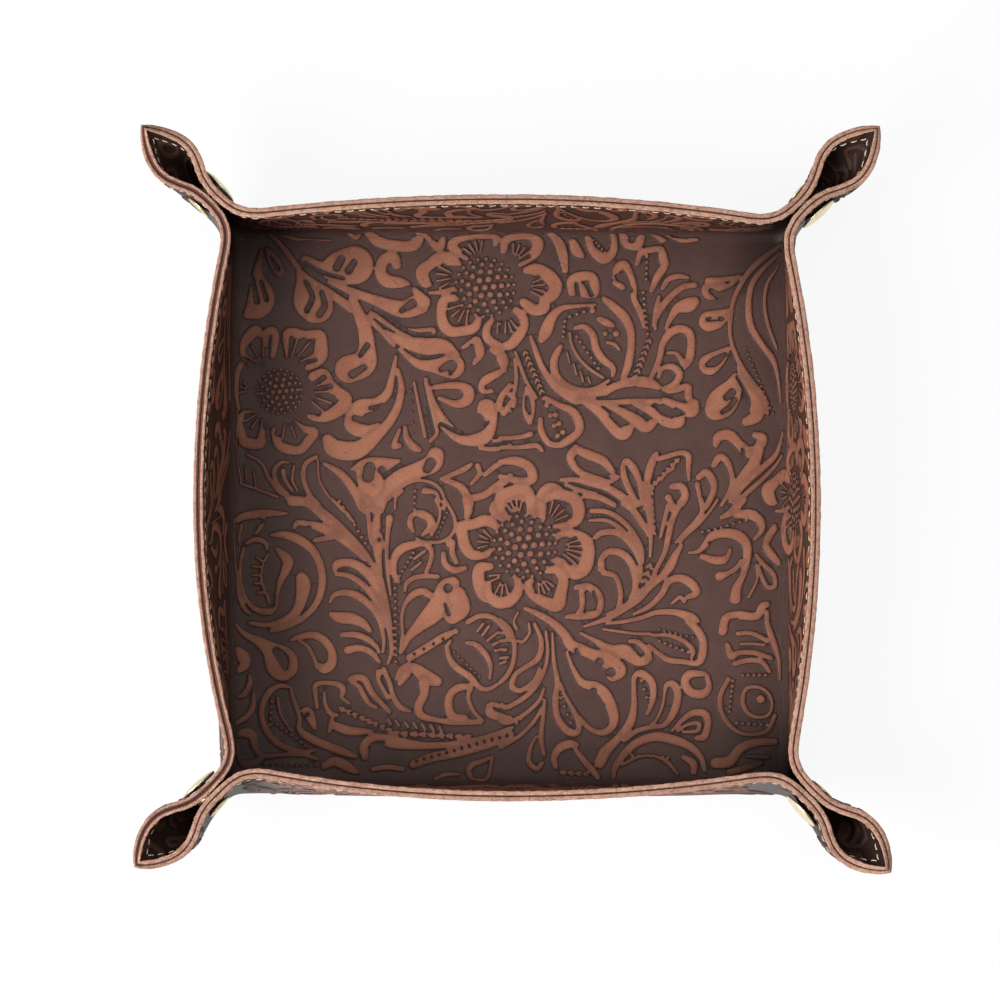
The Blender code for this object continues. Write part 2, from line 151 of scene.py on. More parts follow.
# The two leather sheets, lining and outer, are glued back to back and folded up as one. These are the
# sheet's own sizes and the shape it is folded to, the same as in the solids: flat places u, v on the
# sheet go to points of the tray.
floor_half = 0.103
wall_flat = 0.047
sheet_half = floor_half + wall_flat
layer_gap = 0.00006
to_millimetres = 1000
leather_top = 0.00185
half_spacing = 0.002
crease_reach = 0.006
corner_bend = 0.016
snap_contact_arc = math.radians(18.0)
rim_contact_arcs = [math.radians(angle) for angle in (9.0, 8.5, 12.5, 12.5)]
flare_start = 0.0365
loop_end_angles = (math.radians(70.0), math.radians(57.0))
pinch_leans = [math.radians(angle) for angle in (0.2, 3.6, -1.6, 0.6)]
ear_leans = [math.radians(angle) for angle in (36.0, 35.5, 35.5, 38.5)]
rim_leans = (0.0044, 0.0022, 0.0066, 0.0024)
loop_handle_shares = (0.30, 0.20)
loop_crown_shares = (1.30, 0.73)
quarter = math.pi / 4
tray_offset = np.array([0.00094686, -0.0007745, 0.0])


def smooth_step(x):
    """0 below 0, 1 above 1 and smooth between."""
    x = np.clip(x, 0, 1)
    return x * x * (3 - 2 * x)


def ear_curves(pinch_lean, ear_lean, contact_arc, level):
    """Flat angles of an ear's rays, with their lean, angle off the diagonal and foot shift."""
    t = np.linspace(0, 1, 200)
    crown_x = 1 - loop_crown_shares[level] * math.cos(loop_end_angles[level])
    crown_y = loop_crown_shares[level] * math.sin(loop_end_angles[level])
    x = 3 * t * (1 - t) ** 2 * loop_handle_shares[level] + 3 * t**2 * (1 - t) * crown_x + t**3
    y = 3 * t**2 * (1 - t) * crown_y
    span = ear_lean - pinch_lean - contact_arc
    run = np.concatenate([[0], np.cumsum(np.hypot(np.diff(x), np.diff(y)))])
    flat_angle = contact_arc + (quarter - contact_arc) * run / run[-1]
    start = np.zeros(1)
    return (
        np.concatenate([start, flat_angle]),
        np.concatenate([start + pinch_lean, pinch_lean + contact_arc + span * x]),
        np.concatenate([start, span * y]),
        np.concatenate([start + 1, np.sqrt(1 - t**2)]),
    )


def rim_curve(rim_lean, pinch_lean):
    """Where the rim of half a wall runs, from its middle to the pinch."""
    s = np.linspace(0, floor_half, 330)
    step = s[1]
    bend = smooth_step((s - floor_half + corner_bend) / corner_bend)
    reach = wall_flat * math.sin(pinch_lean) / math.sqrt(2)
    bow = 0.0
    for _ in range(8):
        turn = (quarter + bow) * bend - bow * s / floor_half
        out = np.concatenate([[0], np.cumsum((np.sin(turn[1:]) + np.sin(turn[:-1])) / 2 * step)])
        bow += 2 * (out[-1] - reach + rim_lean) / floor_half
    along = np.concatenate([[0], np.cumsum((np.cos(turn[1:]) + np.cos(turn[:-1])) / 2 * step)])
    out += floor_half + rim_lean
    along *= (floor_half - math.sqrt(2) * half_spacing + reach) / along[-1]
    foot = s - math.sqrt(2) * half_spacing * bend
    up = np.sqrt(wall_flat**2 - (out - floor_half) ** 2 - (along - foot) ** 2)
    return s, out, along, up, foot


def sharp_fold(u, v):
    """Middle of the folded sheet with sharp creases."""
    on_side = np.abs(u) >= np.abs(v)
    p = np.where(on_side, np.abs(u), np.abs(v))
    q = np.where(on_side, v, u)
    s = np.abs(q)
    drop = np.maximum(p - floor_half, 0)
    share = drop / wall_flat
    over = np.maximum(s - floor_half, 0)
    radius = np.hypot(drop, over)
    angle = np.arctan2(over, np.maximum(drop, over))
    corner = np.where(u >= 0, np.where(v >= 0, 0, 3), np.where(v >= 0, 1, 2))
    side = np.where(on_side, np.where(u >= 0, 0, 2), np.where(v >= 0, 1, 3))
    out, along, up = p.copy(), s.copy(), np.zeros_like(p)
    raised = p > floor_half
    for i in range(4):
        here = raised & (corner == i) & (over > 0)
        flare = smooth_step((drop[here] - flare_start) / (wall_flat - flare_start))
        low_angles, *low_columns = ear_curves(pinch_leans[i], ear_leans[i], snap_contact_arc, 0)
        rim_angles, *rim_columns = ear_curves(pinch_leans[i], ear_leans[i], rim_contact_arcs[i], 1)
        at_snap = [np.interp(angle[here], low_angles, column) for column in low_columns]
        at_rim = [np.interp(angle[here], rim_angles, column) for column in rim_columns]
        lean, off, shift = ((1 - flare) * low + flare * rim for low, rim in zip(at_snap, at_rim, strict=True))
        diagonal = radius[here] * np.cos(off) * np.sin(lean) / math.sqrt(2)
        aside = radius[here] * np.sin(off) / math.sqrt(2)
        out[here] = floor_half + diagonal + aside
        along[here] = floor_half - shift * math.sqrt(2) * half_spacing + diagonal - aside
        up[here] = radius[here] * np.cos(off) * np.cos(lean)
        for j in range(4):
            here = raised & (corner == i) & (side == j) & (over == 0)
            if here.any():
                place_table, *columns = rim_curve(rim_leans[j], pinch_leans[i])
                rim_out, rim_along, rim_up, foot = (np.interp(s[here], place_table, row) for row in columns)
                out[here] = floor_half + share[here] * (rim_out - floor_half)
                along[here] = foot + share[here] * (rim_along - foot)
                up[here] = share[here] * rim_up
    along = along * np.where(q < 0, -1, 1)
    x = np.where(on_side, np.sign(u) * out, along)
    y = np.where(on_side, along, np.sign(v) * out)
    return np.stack([x, y, up], axis=-1)


def rounded(grid, count, axis):
    """Running mean along one axis, which rounds the creases."""
    total = np.cumsum(grid, axis=axis)
    high = np.take(total, np.arange(count, grid.shape[axis]), axis=axis)
    low = np.take(total, np.arange(grid.shape[axis] - count), axis=axis)
    return (high - low) / count


window = 25
table_step = 2 * crease_reach / window
table_count = 2 * math.ceil((sheet_half + 3 * table_step) / table_step) + 1
table_half = (table_count - 1) / 2 * table_step
wide = np.linspace(-1, 1, table_count + window - 1) * (table_half + (window - 1) / 2 * table_step)
sharp = np.pad(sharp_fold(*np.meshgrid(wide, wide, indexing="ij")), ((1, 0), (1, 0), (0, 0)))
middle_table = rounded(rounded(sharp, window, 0), window, 1)
normal_table = np.cross(*np.gradient(middle_table, axis=(0, 1)))
normal_table /= np.linalg.norm(normal_table, axis=-1, keepdims=True)
middle_table += (0, 0, leather_top)
middle_table -= tray_offset


def look_up(table, places, half, step):
    """Value of a table at flat places, between its entries."""
    i, j = np.moveaxis((places + half) / step, -1, 0)
    i0 = np.clip(np.floor(i).astype(int), 0, table.shape[0] - 2)
    j0 = np.clip(np.floor(j).astype(int), 0, table.shape[1] - 2)
    a, b = i - i0, j - j0
    if table.ndim == 3:
        a, b = a[..., None], b[..., None]
    near = table[i0, j0] * (1 - b) + table[i0, j0 + 1] * b
    far = table[i0 + 1, j0] * (1 - b) + table[i0 + 1, j0 + 1] * b
    return near * (1 - a) + far * a


def facing(places):
    """Direction in which the lining's side faces at flat places."""
    normal = look_up(normal_table, places, table_half, table_step)
    return normal / np.linalg.norm(normal, axis=-1, keepdims=True)


def folded(places, height):
    """Points of the tray at flat places and heights off the glued middle, positive on the lining's side."""
    places = np.asarray(places, float)
    middle = look_up(middle_table, places, table_half, table_step)
    return middle + facing(places) * np.asarray(height)[..., None]


def turned(places, side, mirrored):
    """Flat places given for the right wall, moved to another wall, or first mirrored to its other end."""
    places = np.array(places, float).reshape(-1, 2)
    p, q = places[:, 0], places[:, 1] * (-1 if mirrored else 1)
    x, y = {"right": (p, q), "back": (-q, p), "left": (-p, -q), "front": (q, -p)}[side]
    return np.stack([x, y], axis=-1)


sides = ("right", "back", "left", "front")
corner_of = {
    ("right", False): "back_right",
    ("right", True): "front_right",
    ("back", False): "back_left",
    ("back", True): "back_right",
    ("left", False): "front_left",
    ("left", True): "back_left",
    ("front", False): "front_right",
    ("front", True): "front_left",
}

# The tooling. The grain side of each sheet is pressed with flowers, pods, leaves and beaded stems that
# stand about half a millimetre above a dark ground. Here it is drawn on a flat field that holds, for each
# place, how far inside a raised shape it lies, in millimetres, with minus signs on the ground.
field_step = 0.2
field_half = 153.0
field_count = int(2 * field_half / field_step) + 1
deep = 4.0


def brush(field, points, raised, moat=0.42):
    """Draw a stroke through points of x, y and half-width: raised with a moat round it, or sunk."""
    points = np.array(points, float).reshape(-1, 3)
    if len(points) > 1:
        ends = np.concatenate([2 * points[:1] - points[1:2], points, 2 * points[-1:] - points[-2:-1]])
        t = np.linspace(0, 1, 6)[:-1, None]
        path = []
        for a, b, c, d in zip(ends[:-3], ends[1:-2], ends[2:-1], ends[3:], strict=True):
            square, cube = 2 * a - 5 * b + 4 * c - d, 3 * b - a - 3 * c + d
            path.append(0.5 * (2 * b + (c - a) * t + square * t**2 + cube * t**3))
        path = np.concatenate([*path, points[-1:]])
    else:
        path = np.concatenate([points, points + 1e-6])
    path[:, 2] = np.maximum(path[:, 2], 0.05)
    margin = path[:, 2].max() + 1.5
    low = np.floor((path[:, :2].min(axis=0) - margin + field_half) / field_step).astype(int)
    high = np.ceil((path[:, :2].max(axis=0) + margin + field_half) / field_step).astype(int) + 1
    low, high = np.clip(low, 0, field_count), np.clip(high, 0, field_count)
    if (high <= low).any():
        return
    x = (np.arange(low[0], high[0]) * field_step - field_half)[:, None]
    y = (np.arange(low[1], high[1]) * field_step - field_half)[None]
    inside = np.full((high[0] - low[0], high[1] - low[1]), -deep)
    for (ax, ay, aw), (bx, by, bw) in zip(path[:-1], path[1:], strict=True):
        dx, dy = bx - ax, by - ay
        t = np.clip(((x - ax) * dx + (y - ay) * dy) / max(dx * dx + dy * dy, 1e-12), 0, 1)
        np.maximum(inside, aw + (bw - aw) * t - np.hypot(x - ax - dx * t, y - ay - dy * t), out=inside)
    part = field[low[0] : high[0], low[1] : high[1]]
    if raised:
        if moat:
            np.minimum(part, -(inside + moat), out=part)
        np.maximum(part, inside, out=part)
    else:
        np.minimum(part, -inside, out=part)


def dots(field, x, y, end_x, end_y, count, size, raised=True):
    """Row of beads, or of holes."""
    for t in np.linspace(0, 1, count):
        brush(field, [x + (end_x - x) * t, y + (end_y - y) * t, size], raised, 0.3)


def braid(field, x, y, end_x, end_y, count, size):
    """Row of pairs of slanted dashes, like plaited grain."""
    across = np.array([y - end_y, end_x - x]) / math.hypot(end_x - x, end_y - y) * size
    step = np.array([end_x - x, end_y - y]) / (count - 1)
    width = np.hypot(*step)
    for k in range(count):
        for hand in (-1, 1):
            near = step * k + (x, y) + across * hand * 0.15
            far = step * (k + 0.45) + (x, y) + across * hand
            brush(field, [*near, width * 0.22, *far, width * 0.16], True, 0.25)


def fan(field, x, y, end_x, end_y, spread, count, width):
    """Hollow of a petal: sunk fingers that spread from its foot, with thin veins between them."""
    length = math.hypot(end_x - x, end_y - y)
    heading = math.atan2(end_y - y, end_x - x)

    def at(turn, reach):
        angle = heading + spread * turn
        return x + length * reach * math.cos(angle), y + length * reach * math.sin(angle)

    for turn in np.linspace(-1, 1, count + 1):
        brush(field, [*at(turn, 0.1), width * 0.35, *at(turn, 1.05 - 0.15 * abs(turn)), width * 0.6], False)
    for k in range(count):
        turn = (2 * k + 1) / count - 1
        brush(field, [*at(turn, 0.42 + 0.1 * (k % 2)), 0.26, *at(turn, 1.05), 0.4], True, 0)


# The rings of beads in a flower's heart. Each has its radius as a share of the heart's, the number of
# beads, and their size as a share.
seed_rings = ((0, 1, 0.1), (0.3, 6, 0.1), (0.56, 11, 0.09), (0.79, 16, 0.07), (0.98, 22, 0.055))


def seeds(field, x, y, radius):
    """Round heart of a flower, filled with rings of beads that get smaller outwards."""
    brush(field, [x, y, radius], False)
    for ring, count, size in seed_rings:
        for k in range(count):
            angle = 2 * math.pi * (k + 0.35 * ring) / count
            spot = (x + radius * ring * math.cos(angle), y + radius * ring * math.sin(angle))
            brush(field, [*spot, max(size * radius, 0.5)], True, 0)


# Every stroke of the drawing on the floor, in the order in which it is cut, in millimetres from the sheet's
# middle. Raised strokes (up) and sunk ones (down) run through points of x, y and half-width. Beads (dots),
# holes and plaited grain (braid) have two ends, a count and a size. A petal's hollow (fan) has its foot, its
# end, the spread to each side in radians, the number of veins and the fingers' width. A flower's heart
# (seeds) has its middle and radius.
drawing = (
    ("up", -87.9, 101.5, .9, -81.2, 93.5, 1, -74.5, 84.7, 1.1, -66.5, 79.3, 1.3, -57.2, 72.6, 1.6, -49.2,
     67.3, 1, -41.9, 59.2, .7),
    ("up", -74.6, 91.1, 1.4, -67.9, 87.7, 2.5, -61.3, 88.1, 6.1, -56.6, 88.8, 7.1),
    ("down", -61.3, 91.1, 1.5, -62.9, 87.9, 1.5),
    ("down", -56.5, 90.1, 1.1, -58.6, 86.9, 1.5),
    ("down", -74.6, 90.1, .5, -67.9, 86.1, .8, -60.6, 84, .8),
    ("up", -41, 88.8, 1.6, -42.3, 91.8, 2.1, -45.6, 90.8, 2.1, -47, 86.4, 2.1, -44.6, 83, 2.4, -40, 82.4, 2,
     -36.6, 82, .7),
    ("up", -65.9, 82.7, .6, -57.2, 79, 1.4, -47.3, 75.3, 2.1, -38.6, 72.6, 3.2, -32.6, 74.7, 3.9),
    ("up", -34.6, 80, .9, -31.3, 75.3, 2.6),
    ("down", -39.3, 72, .9, -35.3, 74.7, 1.7),
    ("up", -50.6, 71.3, .7, -43.9, 67.9, 1.6, -36.6, 63.9, 1.7, -28, 64.6, 1.4),
    ("down", -50.6, 73.3, .5, -45.9, 70, .6, -39.9, 65.9, .9, -33.9, 63.3, .9, -28.6, 63.6, .8),
    ("up", -45.2, 64.6, .6, -38.6, 60.6, 1.9, -30.6, 58.9, 3.1, -24, 58.9, 2.7, -18.7, 55.9, .9),
    ("up", -39.9, 57.9, .6, -33.3, 52.6, 1.6, -26.6, 51.6, 2.7, -20.7, 51.6, 4.6),
    ("down", -24.6, 50.5, 1.1, -20.7, 52.2, 1.7, -21.3, 48.9, .8),
    ("up", -27.3, 43.9, .9, -20, 44.5, 1.4, -15, 42.9, 2, -15.3, 39.2, 2, -19.3, 37.7, 1.4, -25.3, 39.9,
     .7),
    ("down", -24.6, 42.2, .5, -21, 41.9, 1.3, -18.6, 41.5, 1.7),
    ("up", -30.3, 46.5, 1.1, -27.9, 37.9, 1.6, -22.6, 29.5, 1.9, -16.6, 25.2, 2.4, -9.4, 25.9, 3, -6.4,
     31.2, 2.1, -8, 36.5, 3.2, -10.7, 35.2, 1),
    ("down", -24.6, 30.5, .7, -17.3, 27.2, 1, -10.7, 28.5, .9, -7.4, 31.2, .5),
    ("up", -41.2, 55.2, .6, -42.5, 48.5, 1.1, -44.2, 41.9, 1.6, -48.5, 37.9, 2.1, -54.4, 36.2, 3, -57.7,
     30.5, 2.4, -53.7, 27.9, 2.4, -47.8, 29.9, 1),
    ("down", -50.4, 36.2, .8, -45.8, 37.2, .9),
    ("down", -56.1, 32.5, 1.2, -51.1, 31.1, 1.1, -45.8, 32.5, .8),
    ("up", -40.5, 50.5, .6, -39.2, 43.2, 1.2, -41.5, 34.5, 1.6, -46.8, 27.5, 2, -55, 20.9, 3.3, -63, 21.2,
     3.4, -65.9, 24.5, 2.1),
    ("up", -34.6, 45.9, .4, -32.5, 35.2, .6, -30.5, 25.9, .7),
    ("up", -30.3, 45.9, .6, -27.2, 31.9, .6, -26.2, 27.2, .7, -28.6, 24.2, .7),
    ("dots", -35.9, 42.5, -34.8, 23.2, 6, .4),
    ("dots", -29.9, 36.5, -28.2, 27.2, 5, .3),
    ("up", -77.2, 88.8, .6, -75.9, 82.7, 1.9, -73.8, 76, 5, -70.5, 73.6, 6.3),
    ("down", -74.5, 82.7, .7, -71.8, 77.3, 1, -73.8, 72, 1.1),
    ("down", -68.5, 78.7, .9, -67.2, 74, 1.2, -69.2, 70.6, 1.3),
    ("up", -88.6, 94.8, .6, -86.2, 90.8, 2, -83.9, 86.4, 1.9),
    ("down", -87.3, 92.1, .5, -84.5, 87.4, .9),
    ("up", -90.6, 94.1, .6, -91.8, 84.7, 2.1, -90.4, 77.3, 4.7, -91.7, 73.3, 4.3, -95.7, 70.3, 1.4),
    ("down", -93.8, 84, .8, -92.1, 75.3, 1.1),
    ("down", -90.6, 82.7, .7, -88.6, 76, .9),
    ("up", -57.2, 76.7, 1.4, -54.5, 70, 2.1, -52.5, 64.6, 2.6, -51.8, 57.9, 3.1, -53.1, 52.6, 4.7, -58.4,
     50.5, 5.1),
    ("down", -51.7, 59.2, 1.2, -54.2, 55.6, .9),
    ("down", -57.1, 48.5, 1.5, -52.8, 51.2, 1.2),
    ("up", -37.8, 29.2, .7, -37.2, 25.2, 1.1, -34.5, 21.9, 1.4, -32.5, 20.9, .9),
    ("up", -39.8, 28.5, .6, -41.8, 22.5, 1.1, -39.8, 22.5, .9),
    ("up", -99.4, 35.2, .4, -100, 21.9, .4, -97.3, 8.6, .5),
    ("up", -26.6, 18.9, 3, -27.9, 15.9, 3.4, -33.2, 13.5, 2.9, -39.8, 10.6, 2.9, -45, 5.9, 2.6, -47.7, -.7,
     2.4),
    ("down", -28.4, 16.2, 1.9, -29.7, 13.9, 1.6),
    ("up", -69.9, 18.5, .6, -73.8, 15.9, .9, -74.8, 11.2, .9, -72.8, 5.2, .9, -68.1, -.7, 1.1),
    ("up", -69.5, 16.9, .4, -68.9, 9.9, .4, -65.5, 3.9, .5, -60.9, -1.1, .6),
    ("up", -67.2, 15.9, .6, -60.9, 11.9, 1.4, -56.3, 5.9, 1.6, -53.6, -.7, 1.1),
    ("up", -57, 13.9, .6, -51.7, 15.2, 2.6, -47.1, 15.2, 3, -39.8, 16.9, .6),
    ("up", -54.3, 12.6, 1.4, -50.3, 9.2, 4.7, -51, 3.9, 2.4, -52, -1.1, 1.6),
    ("down", -50.6, 14.5, 2, -51.3, 11.2, 2.2),
    ("down", -46.1, 13.5, 1.5),
    ("up", -43.7, 2.6, .4, -39.8, 6.6, .4, -33.8, 9.6, .5, -27.2, 8.6, .6, -23.9, 4.6, .6, -23.5, -.7, .6),
    ("up", -41.4, -.7, .4, -41.1, 3.3, .5, -38.4, 5.9, .4),
    ("up", -30.5, 5.9, 1.3, -26.5, 5.2, .7, -25.2, 1.9, .6),
    ("dots", -34.1, 5.9, -34.4, -.7, 4, .6),
    ("up", -24.2, 10.4, .9, -20.6, 11.9, .9, -16, 14, 1.1, -13.7, 15.7, .7),
    ("up", -22.9, 9.6, .9, -19.9, 8.6, 1.1, -16.6, 6.6, 1.4, -14.6, 1.9, 1.6, -14.3, -1.1, 1.6),
    ("up", -11.3, 15.2, 1, -10.7, 12.2, .9, -13.6, 8.6, .7),
    ("up", -8.7, 11.9, .9, -4.1, 15.5, 1.1, .4, 17.2, 1.3),
    ("up", -12.7, 3.4, 1.4, -8.7, 4.6, 1.4, -4.1, 7.9, 1.4, .4, 10.9, 1.6),
    ("up", -10.4, 21.5, .7, -5.4, 21.2, .9, .4, 22.4, 1),
    ("up", -5.4, 24.2, .6, .4, 25.1, .9),
    ("up", -95.4, 19.2, .4, -90, 15.9, .6, -87.4, 10.6, .6, -84, 5.9, .6, -81.4, 4.2, .6),
    ("up", -97.9, 8.6, .4, -92, 6.6, .5, -84, 3.6, .5),
    ("up", -80.7, 3.6, 1.1, -76.7, 1.6, 1.6, -72.1, 3.6, 1),
    ("up", -78.7, 3.3, .4, -84.1, 8.6, .6, -85.4, 13.2, .8, -82.8, 16.2, .6, -80.1, 16.2, .4),
    ("up", -82.1, 13.2, .9, -81.4, 9.9, .7, -78.7, 5.9, .5),
    ("up", -78.1, 15.2, .4, -78.8, 9.9, .5, -76.8, 5.9, .4),
    ("up", -96, 15.2, .3, -95.3, 9.9, .3),
    ("up", -92.7, 12.6, .3, -92, 7.2, .3),
    ("up", -81, 55.9, 1.6, -80.9, 61.9, 1.8, -79.7, 63.8, 2, -74.4, 63.1, 1.6, -69, 63.1, 1.8, -68.6, 59.2,
     2.4, -68.9, 55.2, 2.6, -72, 52.2, 1.8, -73.7, 50.9, .8),
    ("fan", -80.7, 50.5, -75.1, 60.9, .75, 4, 1.3),
    ("up", -71.4, 47.7, 1.8, -67.7, 48.5, 2.2, -65.6, 45.2, 2, -62.7, 42.2, 2.2, -59.4, 39.7, 2.2, -61.6,
     35.9, 2.4, -66.3, 33.1, 2, -70.3, 32.5, 1.3, -72.9, 33.2, .8),
    ("fan", -75.6, 41.9, -64.7, 40.2, .75, 4, 1.7),
    ("up", -78.6, 30.2, .9, -76.4, 31.3, 1.2, -74.2, 28.5, 1.4, -70.8, 27.3, 1.6, -72.9, 24.2, 1.8, -75.9,
     20.9, 1.6, -80.8, 21.2, 1.8, -84.1, 23.2, 1.6, -85.4, 27.9, 1.2),
    ("fan", -80.9, 33.9, -77.9, 25.9, .8, 3, 2),
    ("up", -89.1, 30.5, .8, -90.1, 25.9, 1.4, -90.6, 23.1, 1.8, -96.1, 23.7, 2, -97.5, 27.2, 1.6, -98.1,
     31.2, 1.2, -96.8, 33.9, 1.2, -94.1, 34.5, .8),
    ("fan", -89.5, 35.2, -93.4, 29.2, .7, 3, 1.3),
    ("up", -98.7, 35.9, .8, -100.1, 39.9, 1.2, -100.3, 45.2, 1.4, -99.4, 49.9, 1.6, -97.9, 51.9, 1.2),
    ("fan", -94.2, 42.5, -97.8, 43.9, .8, 3, 1.2),
    ("up", -90, 52.2, .8, -94.3, 52.4, .8, -96.9, 55.2, 1.2, -97, 59.2, 1.6, -94.9, 62.5, 2, -92.4, 64.6, 2,
     -91, 63.3, 1.2),
    ("fan", -89.6, 51.2, -93.6, 58.6, .7, 3, 1.6),
    ("up", -88.9, 59.2, .8, -88.7, 63.3, 1.4, -86.9, 64.7, 1.5, -85.4, 63.8, 1.4, -85.3, 60.6, 1.4, -86.2,
     55.2, .9),
    ("seeds", -83.6, 42.2, 8.3),
    ("up", -18, 89.3, .8, -21.4, 91.1, 2.4, -25.4, 91.4, 2.4, -28.7, 89.3, 2, -31.7, 86.4, 2.4, -30.7, 82.7,
     2, -29, 81.7, .9),
    ("fan", -18, 84.7, -26, 84.4, .65, 4, 1.3),
    ("up", -28.7, 78.7, .6, -24, 79, .9, -19.4, 80.4, .9),
    ("up", -15.4, 91.4, .8, -18.1, 93.5, 1.4, -20.7, 96.1, 1.8, -18.7, 98.8, 1.8, -14.1, 100.2, 1.6, -8.7,
     100.9, 1.8, -4.8, 100.2, 1.6, -4.8, 96.8, 1),
    ("fan", -10.7, 90.8, -13.4, 97.2, .7, 4, 1.5),
    ("up", -19.4, 76.8, 1.3, -23.3, 75.9, 2, -24.7, 72.3, 1.8, -24, 67.3, 2, -21.3, 64.5, 2, -17.4, 64.5,
     1.8, -12.7, 65.8, 1.8, -10.7, 70, 1),
    ("fan", -14.7, 75.3, -19.4, 69.3, .75, 4, 1.6),
    ("up", -6.2, 68.6, 1, -8.1, 65.6, 1.4, -7.7, 61.9, 1.6, -3.4, 59.2, 1.4, .4, 58.6, 1.2),
    ("fan", -4.1, 70.6, -2.1, 64.6, .5, 3, 1.7),
    ("seeds", -8.7, 80.7, 10.9),
    ("up", -12, 60.6, 2.1, -10.7, 56.6, 1.9, -12.7, 52.6, .7),
    ("up", -16.7, 58.6, .7, -13.4, 60.6, 1.1),
    ("down", -13.5, 59.2, .8, -13.2, 55.6, 1.1),
    ("up", -6.1, 57.6, 1.1, -2.1, 55.2, 1.6, -2.1, 50.5, 1.1, -8.1, 46.5, 1.9, -9.4, 43.2, 1.6, -6.1, 42.5,
     .7),
    ("down", -8, 43.9, .9, -4.1, 45.9, 1.3),
    ("up", .4, 44.5, 1, -2.7, 40.5, 1.1, -3.4, 36.2, 1.3, .4, 35.2, .7),
    ("up", -50.7, 102.2, 2.1, -48, 98.2, 2.4, -41.3, 96.1, 2.1, -34.7, 96.5, 2.3, -32.7, 101.5, 2.1),
    ("down", -46, 101.5, 1.1, -44, 100.2, 1.2),
    ("down", -40.7, 102.2, .9, -40.4, 100.2, 1.2),
    ("down", -35, 101.5, 1.3),
    ("up", -58, 102.2, 1, -56, 99.5, 1.1, -54.7, 101.5, .9),
    ("up", -82.6, 100.9, 1, -79.3, 99.5, 1.1, -74.6, 98.2, .6),
    ("up", -75.9, 98.8, .4, -65.3, 98.2, .4),
    ("up", -30.7, 102.2, 1, -28.7, 98.2, 1.1, -25.4, 95.5, 1.6, -24, 99.5, 1.1),
    ("up", 4.1, 89.1, .8, 7.2, 91.6, 1.6, 10, 94.4, 2.1, 10.4, 98, 2.1, 7.2, 100.8, 2.1, .9, 100.1, 2.1,
     -1.2, 98, 1.7, -1.9, 94.4, 1.3),
    ("fan", 1.3, 89.5, 4.8, 95.8, .6, 4, 1.7),
    ("up", 6.5, 87, 1.4, 10, 87.3, 2.3, 14.2, 85.2, 2.5, 17, 81.7, 2.5, 16, 78.2, 2.3, 13.2, 76, 2.1, 12.7,
     73.1, 2.1, 9.3, 72.4, 2.1, 6, 74.8, 1.7, 4.8, 75.7, 1),
    ("fan", 5.1, 81, 12.5, 80.6, .6, 4, 1.5),
    ("up", 2.7, 72.2, 1.4, 4.8, 70.4, 1.7, 5.5, 66.9, 1.7, 3.7, 63.3, 2.1, .9, 59.8, 1.9, -1.2, 59.1, 1.5),
    ("fan", -1.2, 71.1, .9, 64.8, .5, 3, 1.5),
    ("up", 15.6, 102.2, 1.7, 18.4, 97.2, 1.8, 19.8, 92.3, 1.8, 20.5, 87.2, 1.2),
    ("dots", 17.7, 100.1, 19.5, 88, 7, .3),
    ("up", 23.3, 98, 1.4, 24.7, 94.4, 2, 26.8, 92.3, .9),
    ("up", 28.9, 100.1, 1.2, 30.3, 95.1, 1.5, 34.5, 91.4, 2, 38, 93.7, 1.5, 38.6, 98.3, 1.2, 38.1, 102.2,
     1.1),
    ("dots", 31, 98.7, 35.2, 93.7, 5, .5),
    ("up", 41.6, 102.2, 1.4, 43.3, 97.4, 2, 47.1, 96.5, 1.8, 48.6, 100.8, 1.4),
    ("down", 45, 98.7, 1.4),
    ("up", 52.8, 102.2, .9, 56.3, 98.7, 1.4),
    ("up", 57.7, 101.5, .6, 63.3, 98.8, 1.4, 68.9, 99, .9),
    ("down", 59.8, 100.8, .6, 65.4, 99.9, .6),
    ("up", 23.3, 79.2, 1.7, 23.2, 83.1, 2, 26.8, 84.9, 1.8, 30.5, 84.5, 1.7, 31.4, 81, 1.8, 31.4, 78.2, 1.2,
     27.5, 78.9, 2, 25.1, 81, 2),
    ("down", 24.7, 82, .8, 25.3, 77.5, .9),
    ("down", 28.4, 82, .8, 30.2, 78, .9),
    ("up", 31.7, 74.3, .5, 24.7, 73.8, .7, 19.1, 72.9, 1.2, 15.6, 69.5, 1.8, 13.5, 64.6, 2.3, 12, 61.6,
     1.4),
    ("dots", 19.8, 62.6, 20.5, 68.3, 4, .6),
    ("dots", 22.3, 70, 27.5, 71.8, 3, .6),
    ("up", 30.6, 72.2, 1.1),
    ("up", 34.8, 76.6, .9, 38, 73.9, 1.5, 42.2, 69.7, 1.8, 44.4, 64.8, 1.5, 44.6, 59.1, 1.4, 43.6, 52.8,
     1.5, 41.7, 47.2, 1.1),
    ("up", 33.1, 69, 1.1, 35.9, 67.7, 1.4, 38, 66.7, .8),
    ("up", 35.2, 63.7, .9),
    ("up", 39.2, 63.7, 1.2),
    ("up", 35.8, 60.5, .5, 38.6, 59.7, .7, 40.4, 57.7, .5),
    ("up", 24.3, 65.8, .8, 27.5, 66.2, 1.1, 30.6, 63.3, 1.3, 31.7, 58.4, 1.4, 34.4, 54.2, 1.4, 37.9, 51.2,
     1.1, 37.9, 48.4, .7),
    ("up", 22.2, 64, .5, 22.9, 59.8, .5, 25.4, 54.9, .6, 29.5, 50.7, .6, 34.4, 47.5, .5),
    ("dots", 24.8, 62.6, 32.7, 51, 7, .6),
    ("up", 19, 59.1, .8, 17.7, 57, 1.2, 16.4, 53.5, 1.4, 17.1, 48.6, 1.4, 20.5, 45, 1.1, 26, 42.9, 1, 31.6,
     43.5, .8, 36.5, 46.5, .6),
    ("up", 21.2, 57, .3, 22.2, 52.8, .3),
    ("up", 23.6, 52.8, .3, 24.7, 48.6, .4),
    ("up", 26.1, 50, .3, 27.1, 46.1, .4),
